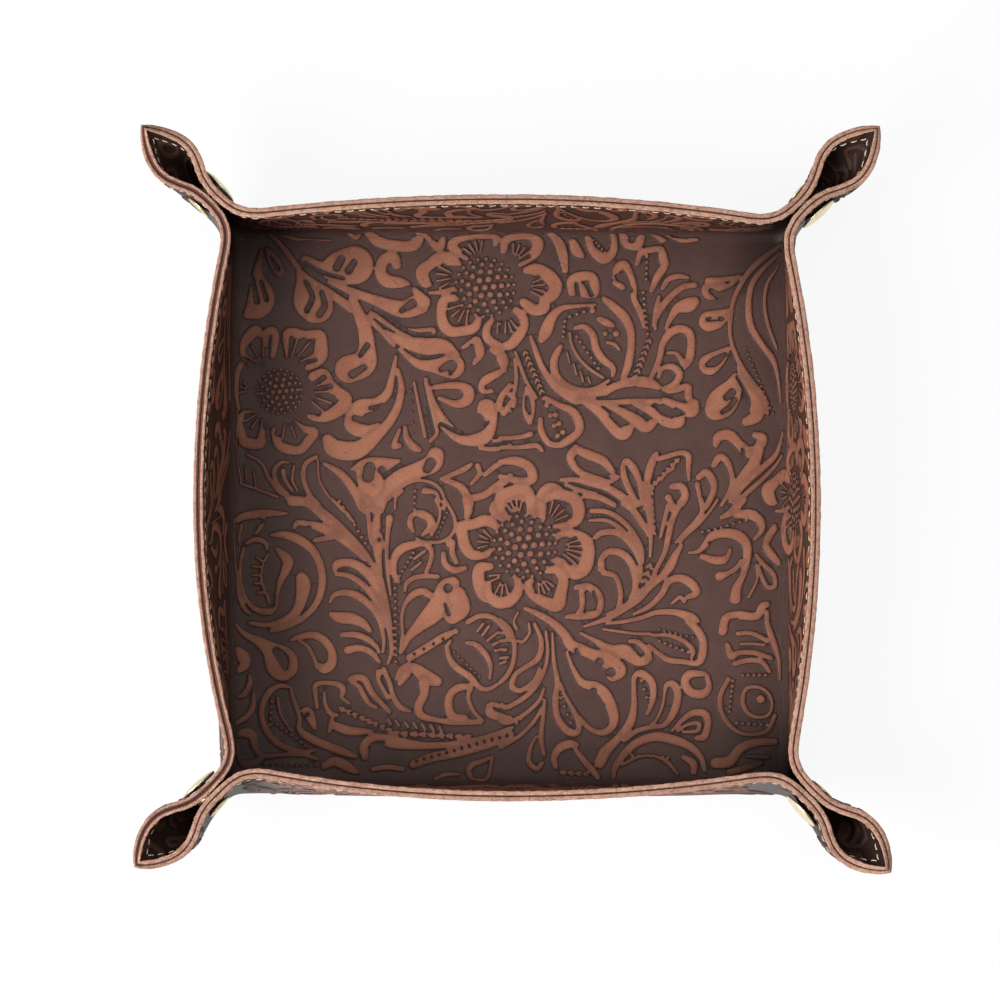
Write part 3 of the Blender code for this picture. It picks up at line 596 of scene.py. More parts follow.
    ("up", 28.8, 47.9, .3, 29.7, 45.4, .3),
    ("up", 7.9, 62.6, .6, 9.9, 57, 1, 12.1, 51.4, 1.1, 15.6, 45.8, 1.4, 19.8, 42.2, 1.8, 26, 40, 2.6, 33,
     41.4, 1.7, 38.6, 44.2, 1.4, 44.2, 45.8, 1.7, 50.5, 45.8, 2.1, 54.6, 44, 1.1),
    ("up", 26.7, 39.4, 1.5, 33, 38.4, 1.2, 41.4, 38.7, 1.1, 49.7, 38.7, 1.1, 56.7, 38.7, 1.1),
    ("up", 56.7, 42.2, .8, 61.6, 43.3, 1.2, 65.4, 44.3, 1.1, 65.4, 40.8, 1.4, 66.8, 38.4, 1.1),
    ("down", 32.3, 39.9, .6, 40, 40.5, 1, 48.4, 41.4, 1, 56.7, 41, 1, 63.7, 39.3, .8),
    ("up", 27.4, 38.7, 1.1, 33, 34.9, 1.8, 37.2, 30.7, 2.4, 41.3, 27.2, 2.7, 44.1, 28.9, 1.5),
    ("down", 37.5, 33.5, 1, 40.8, 30.3, 1.1),
    ("up", 35.8, 37.3, .7, 40.7, 35.2, 1.5, 45.5, 32.4, 2, 49.7, 29.6, 2.3, 52.5, 31, 1.5),
    ("down", 45, 37, 1.1, 48.3, 34.5, 1, 50.4, 32.3, .9),
    ("up", 45.6, 38, .8, 52.5, 34.9, 1.7, 57.4, 31.7, 2.3, 61.6, 31, 2.1, 63.3, 32.8, .9),
    ("down", 53.4, 37.3, 1, 56.7, 34.7, 1.2, 59.5, 33.5, .9),
    ("up", 56.7, 39.1, 1.2, 63, 36.6, 1.8, 66.5, 35.6, 2.7, 67.9, 38.4, 1.4),
    ("down", 61, 35.9, .8, 63.8, 34.4, .6),
    ("dots", 49.2, 78.9, 50.7, 63.7, 8, .6),
    ("braid", 51.4, 61.6, 45.6, 46.1, 8, .9),
    ("up", 46.8, 89.5, .8, 48.5, 93.6, 1.2, 52.7, 94.8, 1.1, 55.7, 94.8, 1.2, 56.4, 91.6, 1.7, 56.9, 88.8,
     1.5, 54.2, 84.5, 1.4, 52.1, 79.6, .8),
    ("dots", 50.6, 92.3, 50.2, 83.8, 5, .6),
    ("up", 38.7, 84.5, .8, 39.6, 87.7, 1.5, 42.2, 89.1, 1.7, 44.3, 85.9, 1.2, 45.7, 81, 1.1, 45.7, 76.7,
     1.1, 47.9, 71.8, 1.1, 49.3, 66.2, .6),
    ("up", 41.5, 81, 1.2, 38.7, 82.4, .9),
    ("down", 39.5, 84.9, .9, 42.2, 83.1, 1.1, 44.8, 79.7, .8),
    ("up", 65.6, 84.5, .6, 61.8, 84.9, 1, 58.3, 83.7, 1, 56.2, 80.6, .8),
    ("up", 68.1, 81.7, 1, 63.9, 81, 1.1, 59.7, 78, 1.2, 56.2, 73.9, 1.2, 54.2, 70, .9, 53.5, 65.5, .6),
    ("up", 68, 75.7, 1.7, 65.6, 74.3, 2.7, 61.7, 73.1, 1.8, 58.9, 69, 1, 57.4, 65.8, .6),
    ("up", 54.9, 77.5, .6, 53.7, 72.5, .9, 53, 66.9, .7),
    ("up", 51.9, 47.5, .8, 54.8, 54.2, 1.1, 56.1, 59.8, 1.2, 58.6, 63.7, 1.5, 62.4, 65.5, 1.5, 65.9, 64,
     1.5, 66.6, 59.5, 1.5, 65.8, 54.2, 1.5, 64.3, 51.2, .6),
    ("up", 58.2, 56.7, .6, 61.3, 56.3, .7, 63.7, 52.8, 1.1),
    ("up", 54.7, 47.9, .7, 56.1, 51, .8, 59.9, 51.4, 1.3, 62.3, 48.9, 1.3, 60.6, 45.4, 1.2, 56.7, 43.5, .9),
    ("up", 84.9, 85.2, .6, 80, 81, 1.1, 76.5, 80.3, 3.3, 74, 79.7, 3.6),
    ("up", 73, 83.1, 1.4, 79.3, 83.9, .9, 84.2, 84.9, .6),
    ("down", 74, 79.6, 1, 77.1, 78, 1.3, 81.7, 80.6, .6),
    ("up", 80.6, 72.5, .8, 76.4, 69.3, 3.2, 73.2, 68.3, 3.8),
    ("down", 72.8, 69, .9, 78.1, 69.3, .8),
    ("up", 73.9, 69.1, .2, 76.7, 69.3, .2),
    ("up", 80.2, 58.4, .8, 77, 55.2, 2.6, 73.2, 52.4, 3.9),
    ("down", 72.5, 52.2, .9, 75.3, 53.5, 1.8, 79.1, 56.3, .8),
    ("up", 82.6, 48.6, .8, 81.5, 43.6, 3.5, 78, 38.7, 5.4, 75.5, 35.9, 4.1),
    ("down", 81.5, 42.2, 1.5, 79.4, 40.3, 1.3),
    ("down", 82.5, 39.4, 1.1, 80.4, 36.6, 1.1, 77.9, 34.9, .9),
    ("up", 83.4, 52.8, .6, 86, 45.8, 1.4, 89.5, 38.7, 2.6, 90.5, 33.8, 2.4, 86.6, 31.4, 1.7),
    ("down", 83.3, 47.9, .6, 86, 42.9, .7, 87.4, 38.7, .8, 86.3, 34.2, .9),
    ("up", 101.8, 98, .6, 94.7, 93, 1, 89.8, 88.8, 1.1, 86.4, 84.5, .9, 82.6, 77.5, .8, 81.1, 70.4, .8,
     80.9, 62.6, .7, 83.6, 54.2, .8, 88.1, 46.5, 1, 93, 40.1, 1, 94.3, 34.5, .7),
    ("up", 100.3, 94.4, .5, 93.3, 88, .8, 89.1, 82.4, 1, 87.6, 75.3, 1.1, 88.3, 66.9, 1.3, 92.4, 59.8, 1.1,
     96.5, 54.2, 1, 98.6, 47.2, .8, 99.9, 38.7, .7),
    ("up", 99.6, 89.5, .5, 94.6, 82.4, .6, 93.5, 73.9, .6, 95.2, 65.5, .6, 98, 58.4, .5),
    ("dots", 86.5, 58.4, 96.4, 34.5, 13, .4),
    ("up", 75.4, 22.9, 1.1, 76.2, 25.7, 1.7, 80.3, 26.5, 2, 83.8, 23.3, 1.7, 87.3, 20.1, 2.1, 90.8, 21.9, 2,
     92.5, 25.4, 1.7, 89.7, 26.5, 1.1),
    ("up", 90.8, 21.2, 2.1, 89.3, 16.3, 2.1, 85.8, 11.7, 2, 83, 7.9, 1.4, 80.9, 2.3, .9),
    ("up", 74.7, 15.6, 1.1, 76.8, 18.4, 1.4, 79.6, 16.6, 1.1, 81.3, 10.7, .9, 80.2, 5.8, .8, 77.4, .9, .7),
    ("down", 81.7, 21.2, .8, 83.4, 16.3, .8, 83, 12.1, .6),
    ("down", 85.2, 21.2, .7, 86.2, 16.3, .7),
    ("up", 69.1, 11, 1.1, 71.9, 12.8, 1.4, 74.1, 10, 1.4, 74.5, 6.5, 1.2, 72.5, 1.6, 1, 71.1, -.7, .8),
    ("up", 68.5, 8.6, .9, 69.4, 3.7, .8, 69.8, -.7, .7),
    ("up", 101.2, 27.5, .6, 97.7, 19.8, 1, 92.1, 14.2, 1.1, 86.5, 9, 1, 81.6, 3.4, .8),
    ("up", 100.5, 19.1, .5, 94.2, 12.1, .7, 87.2, 5.8, .9, 80.9, -.1, .8),
    ("up", 24.6, 21.9, 1.2, 22.7, 18.7, 1.8, 23.6, 15.2, 1.4, 26.7, 12.7, 1.5, 31.5, 10.7, 1.4, 35.7, 10,
     1.7, 39.2, 11, 1.1),
    ("up", 25.3, 20.8, 1.5, 29.5, 19, 1.8, 34.3, 16.9, 1.7, 37.7, 13.1, 1.1),
    ("down", 24.3, 18, .6, 26.7, 14.9, 1, 31.6, 12.8, 1, 36.4, 10.7, .6),
    ("up", 19, 10, .7, 24.6, 10, 1, 30.2, 8.5, 1.1, 35.7, 7.1, 1.3, 41.3, 3.7, 1.5, 45.4, -.1, 1.1),
    ("up", 20.8, 8.3, .6, 26, 6.2, .8, 32.9, 4.4, .8, 38.5, 1.6, .8),
    ("up", 27.4, 4.1, .8, 32.9, 3.4, 1, 38.5, .6, .8),
    ("up", 41.3, 14.2, .7, 42.7, 16.9, 1.2, 45.5, 14.1, 1.4, 47.5, 9.3, 1.1, 48.4, 3.7, .9, 49, .2, .7),
    ("up", 41.4, 14.9, .9, 42.1, 10.7, 1.2, 44.2, 5.7, 1.1, 47, .9, .9),
    ("up", 53.8, 19.8, .8, 52.4, 17.3, 1.4, 51, 13.1, 1.5, 50.2, 7.6, 1.1, 49.7, -.7, .9),
    ("up", 54.5, 17.7, .9, 57.3, 18.5, .9, 62.2, 19.9, .9, 65.3, 19, 1.1, 65.3, 14.9, .9, 65.5, 10, .5),
    ("braid", 61.8, 17.7, 52.4, 7.9, 7, .7),
    ("braid", 52.1, 7.9, 51.7, -.7, 5, .6),
    ("up", 55.5, 10, .4, 57.3, 12.4, .5, 60.2, 14.2, .4),
    ("up", 59.4, 7.6, 1.1, 62.8, 7.6, 1.4, 64.1, 4.4, 1.4, 62.1, .9, 1.5, 59.3, -.7, 1.1),
    ("up", -3.2, 25.3, .7, 3.7, 25.6, .8, 7.9, 26.7, 1),
    ("up", -3.2, 21.9, .6, 3.7, 21.9, .8, 10, 22.5, 1, 12.2, 20.6, .6),
    ("up", -3.2, 16.6, .9, 2.3, 16.9, 1.7, 7.2, 14.9, 1.8, 8.6, 10.7, 1.8, 5.1, 9.4, 1.4, -3.2, 11.3, .9),
    ("up", -3.2, 5.1, 1.9, .9, 4.5, 2.3, 6.2, 4.8, 2.1, 7.9, .9, 2.1, 8.2, -3.3, 1.5),
    ("up", 12.1, -3.3, 1.7, 12.2, 3.7, 2.3, 15.4, 6.6, 2.5, 19.7, 4.3, 2.3, 24.6, 2.2, 2.5, 25.6, -3.3,
     1.5),
    ("up", 2.3, 57, .5, 3.9, 52.8, .6, 6.2, 46.5, .6, 10, 40.1, .6),
    ("braid", 5.8, 57, 13.5, 38.7, 10, .8),
    ("up", 13.5, 40.1, .7, 18.4, 37.3, 1.1, 23.2, 35.1, 1.5, 25.5, 31, 1.7, 25.2, 27.5, 1.5, 21.1, 24.1,
     1.5, 18, 22.7, 1.1, 14.3, 23.6, 1.1, 11.7, 28.2, 1.2, 11.5, 32.4, .8),
    ("dots", 13.8, 37.3, 17.7, 26.1, 4, .9),
    ("dots", 17, 33.8, 19.7, 27.5, 3, 1),
    ("up", 6.5, 43.6, .8, 7.2, 38.7, 2.3, 7.2, 34.5, 2.1, 7.6, 31, .9),
    ("down", 6.7, 40.1, .8, 7, 36.6, 1.1, 7.6, 34.4, .7),
    ("up", -3.2, 54.5, 1.4, -1.7, 50, .9),
    ("up", 2, 54.2, .5, 2.7, 48.6, .7, 2.3, 43.6, .7, .9, 38.7, .9, -1.8, 34.5, 1.2),
    ("up", .2, 41.4, .9, 1.8, 40.1, .9, 1.6, 37.3, 1),
    ("up", -99, -4.8, 1.2, -96.2, -3.4, 1.4, -89.2, -2.4, 1.5, -83, -2.4, .8, -80.6, -2.4, .4),
    ("up", -89.2, -4.1, .9, -90.3, -7.5, .8, -92, -9.8, .5),
    ("up", -97.2, -6.9, .8, -98.1, -11, .7, -97.8, -13.8, .5),
    ("down", -96.8, -10.3, .7, -94.1, -7.7, .9, -89.6, -5.1, .8),
    ("up", -86.4, -10.3, .5, -81.6, -10.2, 1.4, -76, -12.1, 1.7, -71.1, -16, 1.5, -68.4, -21.5, 1.4, -67.7,
     -27.7, 1.4, -69.6, -34.7, 1.2, -74.4, -40.2, 1.1, -80.7, -43.7, .9, -86.2, -45.1, .7),
    ("up", -75.2, -25.7, 2, -74.5, -28.4, 2.7, -75.2, -33.3, 2.1, -77.2, -38.2, 1.7, -82.1, -41.6, 1.2,
     -87.6, -43, .9, -93.8, -42.3, .7),
    ("up", -96.2, -15.2, .7, -97.5, -20.8, .7, -97.3, -27, .7, -95.8, -32.6, .7, -92.5, -36.8, .9, -87.6,
     -38.2, 1.2, -84.5, -36.9, .7),
    ("up", -95.4, -13.3, .6, -92, -11.9, .9, -88.5, -13, .8, -87.8, -15.4, .6),
    ("up", -84.3, -15.2, .6, -82.2, -17.3, 1.5, -80.2, -19.7, 2, -80.9, -22.9, 1.7, -82.8, -27, 1.1, -83.9,
     -31.2, .7, -84.2, -36.1, .5),
    ("up", -87.4, -17.3, .5, -89.1, -20.8, .5, -89.8, -25, .5, -89.1, -29.1, .7, -87.5, -32.6, .7, -87, -35,
     .5),
    ("up", -91.6, -18.3, .4, -89.1, -20.1, .4),
    ("up", -93.3, -21.6, .4, -89.8, -22, .4),
    ("up", -93.3, -24.8, .4, -90.1, -25, .4),
    ("up", -92.5, -27.9, .4, -89.8, -27.9, .4),
    ("up", -91.1, -31.2, .5, -88.4, -31.2, .5),
    ("up", -101, -4.1, .5, -100.2, -18, .5, -98.9, -26.4, .8, -98.1, -31.9, .9, -96, -36.8, .8, -93.9,
     -38.9, .5),
    ("up", -99.4, -43, .6, -95.2, -46.6, 1.1, -90.3, -49.1, 1.8, -85.5, -52.9, 3.5, -82.3, -56.7, 5.9, -82,
     -58.4, 4.7),
    ("down", -84.2, -52.4, 1.5, -81.8, -55.2, 2.1, -80.9, -58.4, 1.1),
    ("up", -78.9, -48.4, .5, -75.8, -47.3, 1.1, -70.9, -46.6, 1.3, -66.8, -48.6, 1.5, -64.1, -52.7, 1.5,
     -64.3, -56.9, 1.8, -66.7, -58.8, 1.8, -69.4, -57.6, 1.1),
    ("up", -75.8, -48.9, .5, -73, -50.6, .7, -70.6, -54.8, .7, -69.4, -58.3, .7),
    ("up", -98.6, -52, 1.4, -96.5, -54.3, 2.4, -96, -57, 2.4, -98, -59.7, 1),
    ("down", -98.4, -56.9, .9),
    ("up", -93.7, -61.4, .7, -93.7, -64.1, 1, -95.7, -68, 1, -98.5, -69, .5),
    ("up", -92.3, -67.6, .6, -92.6, -72.8, 1, -95, -76.2, 1.1, -99.1, -78.7, .9),
    ("up", -78.8, -65.5, .7, -82.6, -65, .8, -86.1, -66.7, 1.1, -88.7, -70.9, 1.1, -89.3, -76.2, 1, -87.2,
     -81.8, 1.1, -83.2, -85.9, 1.2, -78.3, -88, 1, -73.5, -88.8, .7, -70, -88.1, .5),
    ("up", -78.7, -65.9, .6, -78.3, -68.6, .7, -77, -72.1, .8, -75.6, -76.9, .7, -75.8, -80.4, 1, -72.8,
     -83.3, 1.4, -66.6, -86.2, 1.5, -61.1, -88.3, 1.5, -55.5, -90.4, .9),
    ("up", -83.6, -69.3, .5, -82.6, -74.9, .5, -79.8, -79.7, .5, -78.4, -81.2, .4),
    ("dots", -85.7, -70.7, -86.3, -79, 5, .6),
    ("dots", -83.9, -79, -73.5, -86.6, 7, .6),
    ("up", -74.3, -73.8, .8, -72.7, -74.5, 1.8, -71.3, -77.3, 1.5, -70.1, -80.4, .7),
    ("down", -72.9, -75.4, .9),
    ("up", -97.7, -82.5, 1, -95.3, -81.9, 1.8, -92.5, -83.1, 1.7, -91.6, -87.3, 1.2, -88.7, -90.2, 1, -83.2,
     -90, .7, -74.9, -89.8, .7, -69.3, -91.4, .6),
    ("up", -98.2, -85.9, .8, -97.9, -89.7, 1, -95.9, -93.1, 1.5, -92.1, -92.8, 1.4, -88.7, -90.7, .8),
    ("dots", -88, -93.5, -70, -93.8, 9, .5),
    ("up", -69.3, -72.8, .7, -70, -68, .8, -69.8, -64.5, .9, -65.3, -63.9, .8, -61.2, -64.8, 1.1, -59.9,
     -66.8, 1.1, -60.5, -69, .7, -57.7, -71.4, .5),
    ("up", -66.7, -67.3, .5, -66.5, -71.4, .7, -64.6, -74.9, .9, -62.2, -75.6, .7),
    ("up", -63.9, -79, 1.4, -58.3, -81.1, 1.7, -52.8, -81.4, 1.2, -49.4, -81.4, .5),
    ("up", -63.9, -76.9, .7, -64.9, -81.4, .7),
    ("braid", -61.1, -73.1, -43.8, -80.7, 8, .7),
    ("braid", -41.7, -82.1, -15.5, -83.4, 9, .6),
    ("up", -43.8, -76.9, .5, -42.6, -78.9, .5),
    ("up", -40.9, -77.5, .5, -39.7, -79.4, .5),
    ("up", -37.6, -78, .5, -36.4, -79.8, .5),
    ("up", -34.5, -78.3, .5, -33.3, -80.2, .5),
    ("up", -31.4, -78.7, .5, -30.3, -80.7, .5),
    ("up", -28.3, -79.1, .5, -27.2, -81.1, .5),
    ("up", -25.2, -79.7, .5, -24.3, -81.4, .5),
    ("up", -57.4, -62.6, 1, -55, -61.9, 1.2, -52.2, -62.6, 1.2, -50.1, -66.6, 1.1, -47.3, -70, .9, -43.2,
     -74.2, .8),
    ("up", -57, -63.5, .7, -54.2, -65.3, .9, -52.7, -68.1, 1, -50.6, -71.4, .8, -48, -72.8, .7),
    ("up", -47, -60, 1.2, -47.2, -62.8, .7, -45.3, -66.6, .7, -43.7, -69.3, .8),
    ("up", -45.3, -59.1, 1, -43.2, -63.8, .8, -41.6, -69.3, .9, -39, -72.8, 1.1, -35.5, -74.2, .5),
    ("up", -36.3, -57.7, 1.4, -33.2, -59.1, 2, -30, -61.7, 2.6, -25.9, -63.3, 1.8),
    ("up", -40.6, -62.4, .7, -39.2, -59, .8, -36.3, -57, .8),
    ("up", -39.4, -64.1, .9, -37, -60.7, 1.5),
    ("up", -30.7, -63.8, 2, -30.7, -68, 1.6, -32.7, -72.1, 1.6, -31.7, -75.6, 1.4, -25.9, -77.3, .9, -19.6,
     -78, 1.2, -10, -78, .9),
    ("down", -35.9, -63.5, 1, -37.3, -67.3, .7),
    ("up", -13.8, -65, 1, -18.3, -65.7, 1.4, -21.2, -68.1, 1.4, -21.9, -72.1, 1.5, -20.3, -76.1, 1.6, -16.2,
     -76.8, 1.5),
    ("up", -13.9, -65.9, .9, -14.7, -69.3, .7, -12.7, -74.2, .7, -9.3, -77.6, .5),
    ("up", -7.3, -72.1, 1, -6.5, -74.9, 1.7, -2.4, -76.4, 1.4, .4, -76.6, .9),
    ("up", -6.5, -71.4, .8, -3.1, -72.2, 1, .4, -72.6, .9),
    ("up", -52.1, -90.7, 1.2, -52, -86.9, 2, -48.7, -84, 1.8, -42.4, -85.1, 2.3, -38.3, -85.9, 2, -29.3,
     -86.6, 1.3, -19.6, -85.9, 1.1, -9.3, -83.8, .9, .4, -80.4, .8),
    ("down", -50.4, -87.4, .7, -48, -85.7, .8, -45.2, -85.4, .6),
    ("up", -34.5, -93.3, 1.5, -27.9, -90.9, 1.7, -19.6, -89.2, 1.7, -12.7, -87.4, 1.7, -5.8, -85.4, 1.6, .4,
     -82.5, 1.4),
    ("holes", -33.4, -92.2, -.6, -83, 13, .6),
    ("up", -66.6, -93.8, 1.4, -63.1, -92.2, 1.7, -58.3, -94.2, 1.8, -54.8, -96.2, .9),
    ("up", -49.3, -95, .8, -43.8, -94.3, .9, -38.3, -95, .8),
    ("up", -26.5, -99, .9, -23.1, -97.1, .9, -17.5, -96.9, .5),
    ("up", -14, -98, 1.1, -14.6, -95.2, 1, -12.7, -93.1, 1.1, -9.3, -92.1, .8, -6.2, -90.4, .6),
    ("up", -13.4, -99, .9, -9.6, -99.7, .9, -7.2, -96.9, .8, -6, -90.4, .5),
    ("up", -63.3, -23, .8, -62.4, -20.9, 1.5, -58.6, -20.2, 1.5, -54.4, -21.6, 1.7, -50.2, -25.1, 1.8,
     -47.5, -29.8, 1.7, -45.4, -34.7, 1.4, -43.4, -40.2, .9, -42.5, -45.8, .6),
    ("up", -62.6, -24.4, .8, -57.9, -25.1, .9, -53.7, -27.7, 1.1, -50.2, -31.2, 1.1, -47.4, -36.1, .9,
     -44.6, -41.6, .8, -42.9, -47.2, .8, -42.5, -52.7, .8, -43.8, -56.9, .5),
    ("up", -64.9, -34.7, .5, -63.3, -32.1, .9, -59.2, -31.2, 1.2, -54.4, -32.6, 1.4, -50.2, -36.1, 1.2,
     -47.4, -40.2, .9, -46, -44.4, .8, -45.3, -48.6, .7, -45.6, -52.7, .5),
    ("up", -64.6, -38.9, .8, -61.3, -40.2, 2, -57.1, -40.6, 2.1, -53, -42.3, 1.6, -50.2, -45.1, .7),
    ("up", -60.4, -46.5, .9, -55.7, -46.5, 1.1, -51.5, -47.9, 1.1, -48.1, -50.6, .8, -47, -52.9, .5),
    ("up", -58.3, -52, 1.5, -54.3, -51.3, 1.2, -50.1, -52.7, 1.1, -46.9, -56.2, .7),
    ("up", -78.8, 2.2, 2, -73.3, 1.5, 1.6, -67, -3.4, 1.8, -61.4, -8.9, 1.7, -55.8, -13.8, 1.4, -51.7, -18,
     .9, -47.5, -25, .5),
    ("up", -73.3, 2.9, .5, -64.2, -3.4, .5, -57.2, -10.3, .5, -51.7, -16.6, .5, -48.2, -22.9, .5, -45.4,
     -30.5, .5),
    ("up", -78, -7.5, .7, -76.6, -5.8, 1.1, -73.2, -6.2, 1.1, -68.4, -7.5, 1.7, -64.2, -9.6, 1.5, -60,
     -12.4, 1.3, -55.1, -16.6, .8, -52.3, -19.4, .5),
    ("down", -75.2, -8.2, .6, -72.5, -7.5, .8),
    ("up", -70.4, -12.1, .8, -66.3, -11.4, .9, -62.8, -11, .7),
    ("up", -64.2, 2.9, .5, -58.7, -2.7, .7, -56.4, -5.3, .5),
    ("dots", -61.5, 2.2, -52, -13.1, 8, .6),
    ("up", -51.7, 2.9, 1.1, -51, -4.1, .8, -50.3, -11, .7, -48.2, -18, .7, -46.1, -26.4, .7, -44, -36.1, .7,
     -42.6, -44.4, .5),
    ("up", -47.6, -1.3, .9, -48.2, -7.5, 1.7, -47.5, -13.1, 2, -47.4, -18, 1.3, -46.6, -25, .7),
    ("down", -46, -8.6, 1),
    ("down", -47, -11.9, .8),
    ("up", -43.4, -4.1, 1.4, -44, -9.6, .8, -44.4, -16.6, .7, -44, -23.6, .6, -42.9, -31.9, .5),
    ("up", -34.7, -8.9, .6, -35.9, -6.2, 1.1, -35.2, -3.5, 1.2, -32.3, -2.5, 1.5, -28.9, -4.1, 1.5, -28.4,
     -7.2, 1.4, -31.2, -10, .7),
    ("down", -33.6, -4.8, 1.4, -32.8, -7.5, 1.1),
    ("up", -26.7, 2.9, .5, -25, -1.3, .5, -25.9, -6.2, .5, -28.1, -10.3, .5),
    ("up", -23.2, 2.9, .5, -19.7, -4.1, .6, -20.4, -9.6, .6, -24.6, -12.6, .6, -30.2, -12.6, .6, -33.6,
     -11.4, .5),
    ("dots", -22.5, -2, -26, -10.7, 6, .4),
    ("up", -40.2, -27, .9, -41.8, -23.6, 1.1, -41.5, -18.7, 1.4, -39.2, -15.4, 1.7, -35.7, -14, 1.5, -30.8,
     -13.3, 1.1, -28.1, -16, .9, -28.6, -20.1, .8, -30, -23.6, .8),
    ("up", -37.7, -30.5, .5, -37.1, -27.7, .8, -34.3, -25.8, .9, -30.1, -25.1, .9, -25.8, -25.3, .8),
    ("up", -34.3, -18.8, .5, -30.5, -16, .6),
    ("up", -35.3, -22.9, .5, -31.9, -20.2, .5),
    ("dots", -39.5, -25, -34.7, -16.6, 6, .5),
    ("up", -39.1, -52.7, .8, -38.5, -45.8, .6, -38.8, -40.2, .6, -37.7, -35.5, .8, -35, -32.1, 1.3, -31.5,
     -30.7, 1.3, -28.9, -31.9, 1.3),
    ("dots", -41.2, -27, -40.9, -56.2, 13, .6),
    ("up", -38.4, -52, .6, -36.2, -47.2, 1.4, -32.2, -43, 2.4, -28, -39, 3.5, -24.4, -35, 4.1, -22.5, -30.2,
     3.8, -20.4, -27.9, 2.6),
    ("up", -18.7, -32.3, 3.4, -17.3, -36.8, 3.2, -20.4, -39.6, 3),
    ("down", -22.1, -29.5, 1.7),
    ("down", -23, -35.4, .6, -21.8, -38.9, .8),
    ("up", -35.9, -54.7, 1.3, -30.8, -51.7, 1.4, -24.5, -47.7, 1.4, -21.1, -45.9, 1.1),
    ("holes", -34.2, -53.4, -23.8, -47.9, 4, .6),
    ("up", -19.3, -45.2, 1.1),
    ("up", -14.8, -41.8, .9, -10.7, -39.7, .9, -5.8, -40.2, .9, -1.7, -43.9, .9, .5, -48.6, .9),
    ("up", -22.5, -50.6, .9, -21.6, -54.8, .9, -19, -58.3, 1.2, -14.1, -61.7, 1.2, -10, -65.9, .9, -5.8,
     -65.5, .7, -1.7, -61.7, .6, .5, -58.3, .6),
    ("up", -21.1, -48.6, .5, -22.5, -50.6, .8),
    ("up", -15.2, -49.3, .7, -11.9, -50.1, 1, -8.6, -53.4, 1.1, -6.7, -57.6, .8, -6.9, -62.4, .5),
    ("up", -11.4, -45.1, .5, -9.2, -42.3, .5),
    ("up", -9.6, -46.6, .5, -7.1, -43.2, .5),
    ("up", -7.8, -48.6, .5, -3.6, -45.2, .5),
    ("up", -5.8, -50.1, .5, -1.7, -48, .5),
    ("up", -5, -52.2, .5, -1, -51.5, .5),
    ("up", -3.1, -54.9, .5, -.2, -54.6, .5),
    ("dots", -19.7, -52.7, -10.7, -61.7, 7, .4),
    ("up", -23.8, -17, .9, -23.1, -20.8, 1.1, -19.7, -23, 1.2, -15.9, -22.2, .9),
    ("up", -21.7, -13.5, 1.1, -20.4, -12.8, 1, -20.6, -16.6, 1, -19, -20.1, .8),
    ("up", -15.6, 2.9, 1.4, -14.9, -.6, 1.5, -15.2, -3.5, 1.1),
    ("up", -3.1, -8.2, 1, -7.9, -4.9, 2.1, -12.8, -6.2, 1.9, -17.1, -7.2, 2.1, -16.8, -10.3, 2.1, -15.9,
     -14.2, 2.1, -13.3, -17.3, 1.9, -8.6, -17.3, 1.4, -6.7, -15.8, .9),
    ("fan", -4.5, -13.1, -10.7, -11.4, .7, 4, 1.5),
    ("up", -6.7, -21.6, 1.3, -10.6, -22.3, 2.1, -11, -27, 2.3, -9.2, -31.9, 2.1, -4.5, -34, 2.1, .4, -35,
     1.9),
    ("fan", -.3, -24.3, -5.8, -27.7, .6, 4, 1.5),
    ("up", .4, -4.1, 1.3, -3.1, -3, 1.9, -5.5, -.6, 1.7, -3.1, 2.6, 1.9, .4, 3.6, 1.7),
    ("up", 16.9, -6.9, 1, 20.4, -6.3, 1.4, 24.4, -4.9, 1.9, 25.4, -.6, 2.3, 23.3, 3.3, 2.1, 17.6, 4.7, 1.9,
     13.5, 2.9, 1.1),
    ("fan", 13.8, -6.2, 19, -.2, .6, 4, 1.5),
    ("up", 16.9, -11, 1.1, 20.4, -9.4, 1.4, 24.6, -10.2, 1.9, 28.2, -12.6, 2.3, 28.7, -17.3, 2.5, 27.3,
     -22.2, 2.6, 23.8, -24.1, 2.3, 21.1, -21.5, 1.9, 17.6, -19.5, 1.5),
    ("fan", 16.9, -14.5, 25.6, -16.3, .6, 5, 1.4),
    ("up", 14.1, -23, 1.3, 17.6, -23, 1.7, 19.7, -26.4, 1.9, 19, -30.5, 2.1, 17.6, -35.4, 2.6, 13.4, -34.7,
     2.1, 8.6, -31.9, 1.7, 7, -28.4, 1.5, 8.2, -26.7, .9),
    ("fan", 10.3, -24.3, 13.8, -30.5, .55, 4, 1.5),
    ("up", 2.2, -25.1, 1, 3.4, -27.7, 1.5, 3, -31.2, 1.9, .2, -34, 2.1, -3.9, -34.8, 2.1, -7.4, -31.9, 1.7,
     -7.4, -27.7, 1),
    ("fan", -1.8, -25, -2.5, -31.2, .5, 3, 1.5),
    ("up", 7.2, -2, .8, 8, 2.2, 1.9, 5.8, 6.4, 2.1, .9, 5.7, 2.1, -3.2, 3.6, 1.9, -2.7, -.6, 1.7, -.8, -3.5,
     .9),
    ("fan", 3.4, -4.1, 2, 1.5, .6, 4, 1.5),
    ("seeds", 5.8, -14.2, 11.5),
    ("up", 24.5, -29.3, 1, 28.7, -28.9, 1.3, 32, -31.4, 1.5, 33, -35.4, 1.5, 31.4, -38.7, 1.4, 25.9, -39.6,
     1.4, 21, -39.9, .8),
    ("up", 26.6, -30.5, 1.2, 26.6, -36.1, 1.1, 25.2, -38.9, 1.1),
    ("down", 27.8, -31.2, .5, 28.3, -34.7, .6, 27.4, -38.2, .5),
    ("down", 30.8, -30.7, .5, 31.7, -33.6, .6, 31.3, -37.1, .5),
